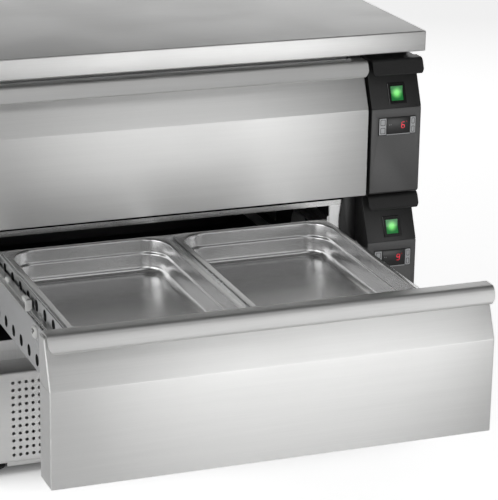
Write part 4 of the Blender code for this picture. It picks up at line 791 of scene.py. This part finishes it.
def buildSlideMember(name, side):
    size = slideSize
    node = f"{name}_{side}_slide_middle"
    low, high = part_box(node)
    sign = sides[side]
    near, far = (low.x, high.x) if sign > 0 else (high.x, low.x)
    webNear = (near + far) / 2 - sign * size["web"] / 2
    webFar = webNear + sign * size["web"]
    foot, top = low.z, low.z + size["height"]
    floor, roof = foot + size["flange"], top - size["flange"]
    bm = bmesh.new()
    outline = [(near, foot), (far, foot), (far, floor), (webFar, floor), (webFar, roof), (far, roof),
        (far, top), (near, top), (near, roof), (webNear, roof), (webNear, floor), (near, floor)]
    addPrism(bm, outline, "y", low.y + size["cap"] / 3, high.y)
    closeAll(bm)
    bevelSharp(bm, size["edge"], 1)
    pad = top + size["gap"]
    padTop = pad + size["padHeight"]
    centre = ((near + far) / 2, low.y + size["padLength"] / 2)
    for along in size["pins"]:
        addRod(bm, "z", (centre[0], low.y + size["padLength"] * along), size["pin"], padTop,
            padTop + size["pinProud"], 14)
    makePiece(f"{node}_steel", bm, node, "slideSteel", "slide_steel", [node])
    bm = bmesh.new()
    halves = (abs(far - near) / 2 - size["padInset"], size["padLength"] / 2)
    section = ((0.0, 0.0), (0.0, size["padHeight"] * size["padShoulder"]),
        (size["padEdge"], size["padHeight"]))
    roundStack(bm, "z", centre, halves, section, pad, size["padCorner"], segments=5)
    cap = addBox(bm, (near + sign * size["padInset"], low.y, foot + size["padInset"]),
        (far, low.y + size["cap"], padTop))
    bevelSharp(bm, size["softEdge"], edges=edgesOf(cap))
    disc = bmesh.new()
    spot = (low.y + size["bufferSetback"], top + size["bufferRise"] - size["buffer"])
    addRod(disc, "x", spot, size["buffer"], far - sign * size["bufferWidth"], far, 40)
    bevelSharp(disc, size["softEdge"], 2, 60)
    cut = bmesh.ops.bisect_plane(disc, geom=disc.verts[:] + disc.edges[:] + disc.faces[:],
        plane_co=(0, 0, pad), plane_no=(0, 0, 1), clear_inner=True)["geom_cut"]
    bmesh.ops.contextual_create(disc, geom=[item for item in cut if isinstance(item, bmesh.types.BMEdge)])
    joinMesh(bm, disc)
    makePiece(f"{node}_nylon", bm, node, "whiteNylon", "key_grey")


for name in drawers:
    for side in sides:
        buildSlideMember(name, side)
print("slides done")


# Control modules: black housing, anthracite plate, thermostat and lit switch
moduleSize = {
    "width": 0.105, "back": 0.0697, "gap": 0.0003, "edge": 0.0009, "plate": 0.003, "plateFoot": 0.0036,
    "plateTopGap": 0.0005, "plateCorner": 0.0012, "noseInset": 0.003, "noseEnd": 0.1095,
}
modulePull = {
    "foot": 0.2384, "sheet": 0.003, "back": 0.0432, "nose": 0.012, "return": 0.006, "corner": 0.010,
    "shortReturn": 0.010, "legFoot": 0.262, "edge": 0.0006,
}
# A strip at the left of each housing, its head slanted
trimSize = {
    "width": 0.0331, "thick": 0.0047, "head": 0.0062, "slope": 0.055, "headEdge": 0.012, "gap": 0.0005,
    "edge": 0.0008,
}


def buildHousing(name):
    size = moduleSize
    face = size["plate"] + size["gap"]
    top = drawerHeight - size["gap"]
    bm = bmesh.new()
    outline = [(face, 0), (size["back"], 0), (size["back"], top), ((top - creaseHeight) * slantTan, top),
        (0, creaseHeight), (face, creaseHeight)]
    addPrism(bm, outline, "x", 0, size["width"])
    bevelSharp(bm, size["edge"], 3, 12)
    modulePiece(name, "housing_shell", bm, "blackPlastic", "black_plastic", [f"{name}_module_housing"])
    bm = bmesh.new()
    addPull(bm, modulePull, size["noseInset"], size["noseEnd"])
    modulePiece(name, "housing_pull", bm, "blackPlastic", "black_plastic", thick=modulePull["sheet"],
        edge=modulePull["edge"])
    bm = bmesh.new()
    trim = trimSize
    foot, top = trim["gap"], drawerHeight - trim["gap"]
    left, right = -trim["width"], -size["gap"]
    outline = [(left, foot), (right, foot), (right, top), (left + trim["head"], top),
        (left + trim["head"], top - trim["headEdge"]), (left, top - trim["slope"])]
    addPrism(bm, outline, "y", size["back"] - trim["thick"], size["back"])
    closeAll(bm)
    bevelSharp(bm, trim["edge"])
    modulePiece(name, "housing_trim", bm, "blackPlastic", "black_plastic")


# Spans are across the module; the section runs from the case's back to its rim, by inset and depth
controllerSize = {
    "left": 0.0148, "width": 0.0796, "top": 0.1549, "height": 0.0351, "proud": 0.0015, "corner": 0.0022,
    "leftKey": (0.0158, 0.0311), "rightKey": (0.0825, 0.0934), "screen": (0.0324, 0.0812),
    "screenEdge": 0.0018, "screenDepth": (0.0004, 0.0028), "screenBevel": 0.0004, "room": 0.0004,
    "roomCorner": 0.002, "section": (
        (0.0, 0.0255), (0.0, 0.0006), (0.0003, 0.0001), (0.0009, 0.0), (0.0015, 0.0004), (0.0015, 0.0030)),
}
# A light line under the display, and two dots in its upper left corner
markSize = {
    "overhang": 0.0006, "line": (0.0003, 0.0017), "lineDepth": (-0.0001, 0.0003), "dot": 0.0006,
    "dotAcross": (0.0052, 0.0086), "dotHeight": 0.0205, "dotDepth": (0.0001, 0.0004),
}


def buildFacePlate(name):
    size = moduleSize
    spot = controllerSize
    low = (size["gap"], size["plateFoot"])
    high = (size["width"] - size["gap"], creaseHeight - size["plateTopGap"])
    bm = bmesh.new()
    outer = roundLoop(bm, "y", ((low[0] + high[0]) / 2, (low[1] + high[1]) / 2),
        ((high[0] - low[0]) / 2, (high[1] - low[1]) / 2), size["plateCorner"], 0, 3)
    halves = (spot["width"] / 2, spot["height"] / 2)
    hole = roundLoop(bm, "y", (spot["left"] + halves[0], spot["top"] - halves[1]),
        (halves[0] + spot["room"], halves[1] + spot["room"]), spot["roomCorner"], 0, 3)
    bmesh.ops.triangle_fill(bm, use_beauty=True, use_dissolve=False, edges=outer + hole, normal=(0, -1, 0))
    grown = bmesh.ops.extrude_face_region(bm, geom=bm.faces[:])
    bmesh.ops.translate(bm, verts=newVerts(grown), vec=(0, size["plate"], 0))
    closeAll(bm)
    bevelSharp(bm, size["edge"], 2, 50)
    modulePiece(name, "plate_coated", bm, "anthracitePlate", "anthracite", [f"{name}_module_plate"])


# Seven-bar digits on the display, each bar by its place, the flat ones marked 1; a six and a nine leave out
# one bar each
digitBars = {
    "top": (0.5, 1.0, 1), "middle": (0.5, 0.5, 1), "bottom": (0.5, 0.0, 1), "upperLeft": (0.0, 0.75, 0),
    "upperRight": (1.0, 0.75, 0), "lowerLeft": (0.0, 0.25, 0), "lowerRight": (1.0, 0.25, 0),
}
digitGaps = {"6": "upperRight", "9": "lowerLeft"}
displaySize = {
    "width": 0.0062, "height": 0.0118, "bar": 0.0013, "gap": 0.0004, "lean": 0.0012, "thick": 0.0002,
    "depth": 0.0004, "right": 0.0700, "foot": 0.1325, "degree": 0.0011, "degreeSpot": (0.0043, 0.0007),
    "degreeThick": 0.0003, "degreeWall": 0.0006,
}
digitRed = {"dark": (0.22, 0.0, 0.006, 1), "bright": (0.85, 0.04, 0.07, 1), "strength": 0.9, "reach": 0.011}


def buildDisplay(name, digit):
    size = displaySize
    front = -controllerSize["proud"] + size["depth"]
    left, head = size["right"] - size["width"], size["foot"] + size["height"]
    bm = bmesh.new()
    for across, up, flat in (spot for bar, spot in digitBars.items() if bar != digitGaps[digit]):
        x = left + across * size["width"] + (up - 0.5) * size["lean"]
        z = size["foot"] + up * size["height"]
        long = (size["width"] if flat else size["height"] / 2) / 2 - size["gap"]
        half = (long, size["bar"] / 2) if flat else (size["bar"] / 2, long)
        addBox(bm, (x - half[0], front - size["thick"], z - half[1]), (x + half[0], front, z + half[1]))
    across, up = size["degreeSpot"]
    ring = bmesh.ops.create_cone(bm, cap_ends=False, segments=16, radius1=size["degree"],
        radius2=size["degree"], depth=size["degreeThick"],
        matrix=Matrix.Translation((size["right"] + across, front, head + up)) @ turns["y"])["verts"]
    walls = list(dict.fromkeys(face for vert in ring for face in vert.link_faces))
    bmesh.ops.solidify(bm, geom=walls, thickness=size["degreeWall"])
    lit = modulePlace(name) + Vector((left + size["width"] / 2, 0, size["foot"] + size["height"] / 2))
    glowing(f"{name}_digit_red", tuple(lit), **digitRed)
    modulePiece(name, "display_digit", bm, f"{name}_digit_red", "black_plastic")


def buildController(name):
    size = controllerSize
    mark = markSize
    front = -size["proud"]
    foot = size["top"] - size["height"]
    left, right = size["screen"]
    bm = bmesh.new()
    roundStack(bm, "y", (size["left"] + size["width"] / 2, (foot + size["top"]) / 2),
        (size["width"] / 2, size["height"] / 2), size["section"], front, size["corner"], shrink=0.6)
    modulePiece(name, "controller_case", bm, "blackPlastic", "black_plastic", [f"{name}_controller"])
    bm = bmesh.new()
    near, deep = size["screenDepth"]
    edge = size["screenEdge"]
    addBox(bm, (left, front + near, foot + edge), (right, front + deep, size["top"] - edge))
    bevelSharp(bm, size["screenBevel"])
    modulePiece(name, "controller_screen", bm, "screenBlack", "black_plastic")
    bm = bmesh.new()
    addBox(bm, (left - mark["overhang"], front + mark["lineDepth"][0], foot + mark["line"][0]),
        (right + mark["overhang"], front + mark["lineDepth"][1], foot + mark["line"][1]))
    for across in mark["dotAcross"]:
        addRod(bm, "y", (left + across, foot + mark["dotHeight"]), mark["dot"],
            *(front + depth for depth in mark["dotDepth"]), 10)
    modulePiece(name, "controller_marks", bm, "keyGrey", "key_grey")
    for side in sides:
        buildKey(name, side, size[f"{side}Key"], foot)


# Both sections: inset, and depth behind the controller's front
keySize = {
    "gap": 0.0010, "corner": 0.0014, "markMargin": 0.0022, "markWidest": 0.0052, "markHeight": 0.36,
    "markCorner": 0.0016, "section": ((0.0, 0.0026), (0.0, 0.0004), (0.0002, 0.0001), (0.0006, 0.0)),
    "markSection": ((0.0, 0.0002), (0.0, -0.0002), (0.0010, -0.0003), (0.0011, 0.0002)),
}


def buildKey(name, side, span, foot):
    size = keySize
    node = f"{name}_{side}_key"
    place = modulePlace(name)
    front = -controllerSize["proud"]
    top = controllerSize["top"]
    centre = ((span[0] + span[1]) / 2, (foot + top) / 2)
    halves = ((span[1] - span[0]) / 2, (top - foot) / 2 - size["gap"])
    bm = bmesh.new()
    roundStack(bm, "y", centre, halves, size["section"], front, size["corner"])
    makePiece(f"{node}_cap", bm, node, "keyGrey", "key_grey", [node], place)
    bm = bmesh.new()
    outline = (min(halves[0] - size["markMargin"], size["markWidest"]), halves[1] * size["markHeight"])
    for step in (-1, 1):
        roundStack(bm, "y", (centre[0], centre[1] + step * halves[1] / 2), outline, size["markSection"],
            front, size["markCorner"], ends=())
    makePiece(f"{node}_marks", bm, node, "keyMark", "key_grey", place=place)


for name, digit in (("upper", "6"), ("lower", "9")):
    buildHousing(name)
    buildFacePlate(name)
    buildController(name)
    buildDisplay(name, digit)
print("control modules done")


# Machine base: a perforated front folded back at its head and foot, over a skirt set back from it
baseSize = {
    "fieldStart": 0.0875, "pitch": (0.01305, 0.01483), "hole": 0.0034, "columns": 5, "rows": 11,
    "firstRow": 0.0212, "sheet": 0.002, "flange": 0.0682, "hem": 0.012, "fold": 0.004, "bend": 0.003,
    "sides": 16, "weld": 1e-5,
}
skirtSize = {
    "end": 0.0765, "back": 0.010, "foot": 0.0145, "return": 0.024, "bend": 0.002, "sheet": 0.0015,
    "edge": 0.0002,
}


# One cell of the perforated field: a round hole in a rectangle of sheet
def addCell(bm, centre, halves, radius, along, segments):
    inner, outer = (addRing(bm, "y", centre, radius, along, segments) for _ in range(2))
    for vert in {vert for edge in outer for vert in edge.verts}:
        x, z = vert.co.x - centre[0], vert.co.z - centre[1]
        reach = max(abs(x), abs(z))
        vert.co.x, vert.co.z = centre[0] + x / reach * halves[0], centre[1] + z / reach * halves[1]
    bmesh.ops.bridge_loops(bm, edges=inner + outer)


# Border edges at one place along an axis, drawn out to each point of a path of changes
def drawOut(bm, axis, start, path):
    index = "xyz".index(axis)
    edges = [edge for edge in bm.edges if edge.is_boundary and
        all(abs(vert.co[index] - start) < weldReach for vert in edge.verts)]
    for change in path:
        fresh = set(newVerts(bmesh.ops.extrude_edge_only(bm, edges=edges)))
        for vert in fresh:
            for key, value in change.items():
                setattr(vert.co, key, value)
        edges = [edge for edge in bm.edges if edge.is_boundary and fresh.issuperset(edge.verts)]


def buildBaseFront():
    size = baseSize
    low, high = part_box("base_front")
    half = size["sheet"] / 2
    face = facePlane + half
    pitchX, pitchZ = size["pitch"]
    width = size["columns"] * pitchX
    fieldTop = high.z - size["firstRow"] + pitchZ / 2
    fields = (low.x + size["fieldStart"] - pitchX / 2, high.x - size["fieldStart"] - width + pitchX / 2)
    bm = bmesh.new()
    for start in fields:
        for column in range(size["columns"]):
            for row in range(size["rows"]):
                spot = (start + (column + 0.5) * pitchX, fieldTop - (row + 0.5) * pitchZ)
                addCell(bm, spot, (pitchX / 2, pitchZ / 2), size["hole"], face, size["sides"])
    bmesh.ops.remove_doubles(bm, verts=bm.verts, dist=size["weld"])
    for start, end in ((fields[0], low.x), (fields[0] + width, fields[1]), (fields[1] + width, high.x)):
        drawOut(bm, "x", start, [{"x": end}])
    bmesh.ops.remove_doubles(bm, verts=bm.verts, dist=size["weld"])
    for start, rim, inward, depth in ((fieldTop, high.z, -1, size["flange"]),
            (fieldTop - size["rows"] * pitchZ, low.z, 1, size["hem"])):
        turnZ = rim + inward * half
        path = openPoints([(face, rim + inward * size["fold"]), (face, turnZ), (facePlane + depth, turnZ)],
            [size["bend"]], 4)
        drawOut(bm, "z", start, [{"y": y, "z": z} for y, z in path])
    makePiece("base_front_sheet", bm, "cabinet", "baseSteel", "stainless", ["base_front"],
        thick=size["sheet"], smooth=30, crisp=True)
    size = skirtSize
    bm = bmesh.new()
    start, foot = facePlane + size["back"], size["foot"] + half
    path = openPoints([(start + half, low.z), (start + half, foot), (start + size["return"], foot)],
        [size["bend"]], 3)
    addStrip(bm, path, "x", low.x + size["end"], high.x - size["end"])
    makePiece("base_skirt", bm, "cabinet", "baseSteel", "stainless", thick=size["sheet"], edge=size["edge"])


buildBaseFront()
print("machine base done")


# Strips on the shelf's front edge: steel below, and above it a dark strip that is painted shade of the gap
# # under the upper drawer. They reach from the drawers' middle to the ends, and stand proud of the shelf
shelfSize = {"left": 0.3555, "right": 0.3880, "proud": 0.00015}
shelfStrips = {"shelf_strip": ("shelfSteel", "stainless", 0.4600, 0.4708),
    "shelf_painted_shade": ("paintedShadeBlack", "rubber", 0.4708, 0.4790)}


def buildShelfStrips():
    size = shelfSize
    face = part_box("middle_shelf")[0].y - size["proud"]
    for name, (finish, slotName, low, high) in shelfStrips.items():
        bm = bmesh.new()
        far = (centreX + size["right"], face + size["proud"] * 2, high)
        addBox(bm, (centreX - size["left"], face, low), far)
        bevelSharp(bm, size["proud"] / 2, 1)
        makePiece(name, bm, "cabinet", finish, slotName)


# Dome screws along the edges of the side sheets, in the room under the worktop's overhang: radius and
# height of each ring of a screw, from its rim over the dome into the socket
screwSize = {
    "rings": ((0.0044, -0.0002), (0.0030, 0.0018), (0.0014, 0.00185), (0.0014, 0.0008)),
    "segments": 18, "depths": (0.030, 0.320, 0.612), "heights": (0.232, 0.762),
}


def buildSideScrews(name, outward, face):
    size = screwSize
    bm = bmesh.new()
    for depth in size["depths"]:
        for height in size["heights"]:
            rings = [addRing(bm, "x", (depth, height), radius, face + outward * away, size["segments"])
                for radius, away in size["rings"]]
            skinLoops(bm, rings)
    makePiece(name, bm, "cabinet", "slideSteel", "slide_steel")


buildShelfStrips()
buildSideScrews("right_side_screws", 1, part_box("duct_cover")[1].x)
buildSideScrews("left_side_screws", -1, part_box("left_wall")[0].x)
print("shelf strips and screws done")


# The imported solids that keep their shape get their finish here
finishes = {
    "cabinetSteel": ["left_wall", "duct_wall", "back_wall", "cavity_floor", "middle_shelf", "ceiling_panel"],
    "coverSteel": ["duct_cover"],
    "trayZinc": ["base_tray"],
    "rubberBlack": [f"foot_{end}_{side}" for end in ("front", "rear") for side in sides],
    "compressorEnamel": ["compressor"],
    "finAluminium": ["condenser", "upper_evaporator", "lower_evaporator"],
    "blackPlastic": ["mains_inlet", "condenser_fan", "upper_evaporator_fan", "lower_evaporator_fan"],
    "blackGloss": ["upper_switch_bezel", "lower_switch_bezel"],
    "sideZinc": ["upper_cross_frame", "lower_cross_frame"],
    "gasketGrey": ["upper_drawer_gasket", "lower_drawer_gasket"],
    "slideSteel": [f"{name}_{side}_slide_rail" for name in drawers for side in sides],
}
lensGreen = {"dark": (0.010, 0.13, 0.028, 1), "bright": (0.22, 0.80, 0.20, 1), "strength": 0.75,
    "reach": 0.0135}
for name in drawers:
    low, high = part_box(f"{name}_switch_rocker")
    glowing(f"{name}_lens_green", tuple((low + high) / 2), **lensGreen)
    finishes[f"{name}_lens_green"] = [f"{name}_switch_rocker"]
for finish, members in finishes.items():
    for member in members:
        nodes[member].data.materials.clear()
        nodes[member].data.materials.append(materials[finish])
print("packed solids finished")


# Floor, light and camera
studio = {
    "floorSize": 60, "floorTone": 0.80, "cameraGlow": 0.80, "glossGlow": 0.14, "skyTop": 0.06,
    "skySide": 0.08, "shadowReach": 0.27, "shadowSamples": 8, "shadowDark": 0.28, "shadowLight": 0.80,
}
# Each lamp: where it stands, what it faces, its width and height, and its power
lamps = {
    "frontRightBox": ((0.95, -2.75, 1.05), (-0.1, -0.3, 0.6), 1.7, 1.1, 5.0),
    "overheadBox": ((0.35, -1.70, 2.70), (-0.1, -0.2, 0.5), 2.2, 1.0, 5.0),
    "rearRightBox": ((1.3, 3.2, 1.9), (0.0, 0.2, 0.8), 2.6, 1.4, 15.0),
    "leftBox": ((-3.2, -0.9, 1.4), (-0.3, -0.3, 0.4), 3.2, 2.4, 50.0),
    "frontBox": ((-1.6, -3.4, 1.7), (-0.1, -0.3, 0.4), 1.8, 1.4, 14.0),
    "frontLowBox": ((0.85, -2.7, 0.36), (0.0, 0.0, 0.6), 2.4, 0.6, 14.5),
}
cameraSize = {
    "yaw": 21.069, "pitch": 18.102, "roll": 0.943, "eye": (-1.37829, -3.91082, 1.75605), "lens": 160.68,
    "sensor": 36,
}


# A matt floor that looks white to the camera; the glow fades in the narrow gaps under the counter, so
# that the floor keeps its contact shadow
def buildFloor():
    bm = bmesh.new()
    bmesh.ops.create_grid(bm, x_segments=1, y_segments=1, size=studio["floorSize"])
    mesh = bpy.data.meshes.new("floor")
    bm.to_mesh(mesh)
    bm.free()
    made = bpy.data.materials.new("floorPale")
    made.use_nodes = True
    tree = made.node_tree
    tree.nodes.remove(tree.nodes["Principled BSDF"])
    matt = wire(tree, "ShaderNodeBsdfDiffuse", {"Color": grey(studio["floorTone"])})
    ray = wire(tree, "ShaderNodeLightPath").outputs
    inGloss = maths(tree, "MAXIMUM", ray["Is Glossy Ray"], ray["Is Transmission Ray"])
    gap = wire(tree, "ShaderNodeAmbientOcclusion", {"Distance": studio["shadowReach"]},
        samples=studio["shadowSamples"]).outputs["AO"]
    openness = mapRange(tree, gap, studio["shadowDark"], studio["shadowLight"])
    lit = maths(tree, "MULTIPLY", openness, studio["cameraGlow"])
    seen = maths(tree, "MULTIPLY", ray["Is Camera Ray"], lit)
    strength = maths(tree, "ADD", seen, maths(tree, "MULTIPLY", inGloss, studio["glossGlow"]))
    glow = wire(tree, "ShaderNodeEmission", {"Color": grey(1.0), "Strength": strength})
    both = wire(tree, "ShaderNodeAddShader", {0: matt.outputs[0], 1: glow.outputs[0]})
    tree.links.new(both.outputs[0], tree.nodes["Material Output"].inputs["Surface"])
    mesh.materials.append(made)
    floor = addObject("floor", mesh)


def buildWorld():
    world = bpy.context.scene.world or bpy.data.worlds.new("studio")
    bpy.context.scene.world = world
    world.use_nodes = True
    tree = world.node_tree
    around = wire(tree, "ShaderNodeTexCoord").outputs["Generated"]
    up = wire(tree, "ShaderNodeSeparateXYZ", {"Vector": around}).outputs["Z"]
    tone = mapRange(tree, up, 0.0, 1.0, studio["skySide"], studio["skyTop"])
    white = wire(tree, "ShaderNodeLightPath").outputs["Is Camera Ray"]
    strength = wire(tree, "ShaderNodeMix", {"Factor": white, 2: tone, 3: 1.0}, data_type="FLOAT").outputs[0]
    tree.nodes["Background"].inputs["Color"].default_value = grey(1.0)
    tree.links.new(strength, tree.nodes["Background"].inputs["Strength"])


def buildCamera():
    yaw, pitch, roll = (math.radians(cameraSize[key]) for key in ("yaw", "pitch", "roll"))
    ahead = Vector((math.sin(yaw) * math.cos(pitch), math.cos(yaw) * math.cos(pitch), -math.sin(pitch)))
    right = Vector((math.cos(yaw), -math.sin(yaw), 0))
    up = right.cross(ahead)
    turnedRight = right * math.cos(roll) + up * math.sin(roll)
    turnedUp = up * math.cos(roll) - right * math.sin(roll)
    data = bpy.data.cameras.new("camera")
    data.sensor_fit = "VERTICAL"
    data.sensor_width = data.sensor_height = cameraSize["sensor"]
    data.lens = cameraSize["lens"]
    camera = addObject("camera", data)
    turn = Matrix((turnedRight, turnedUp, -ahead)).transposed()
    camera.matrix_world = Matrix.Translation(cameraSize["eye"]) @ turn.to_4x4()
    bpy.context.scene.camera = camera


def buildLamp(name, spot, target, width, height, power):
    data = bpy.data.lights.new(name, "AREA")
    data.shape = "RECTANGLE"
    data.size = width
    data.size_y = height
    data.energy = power
    lamp = addObject(name, data)
    lamp.location = spot
    lamp.rotation_mode = "QUATERNION"
    lamp.rotation_quaternion = (Vector(target) - Vector(spot)).to_track_quat("-Z", "Y")


buildFloor()
buildWorld()
buildCamera()
for name, values in lamps.items():
    buildLamp(name, *values)
bpy.context.scene.view_settings.view_transform = "Standard"

print("counter and studio done")
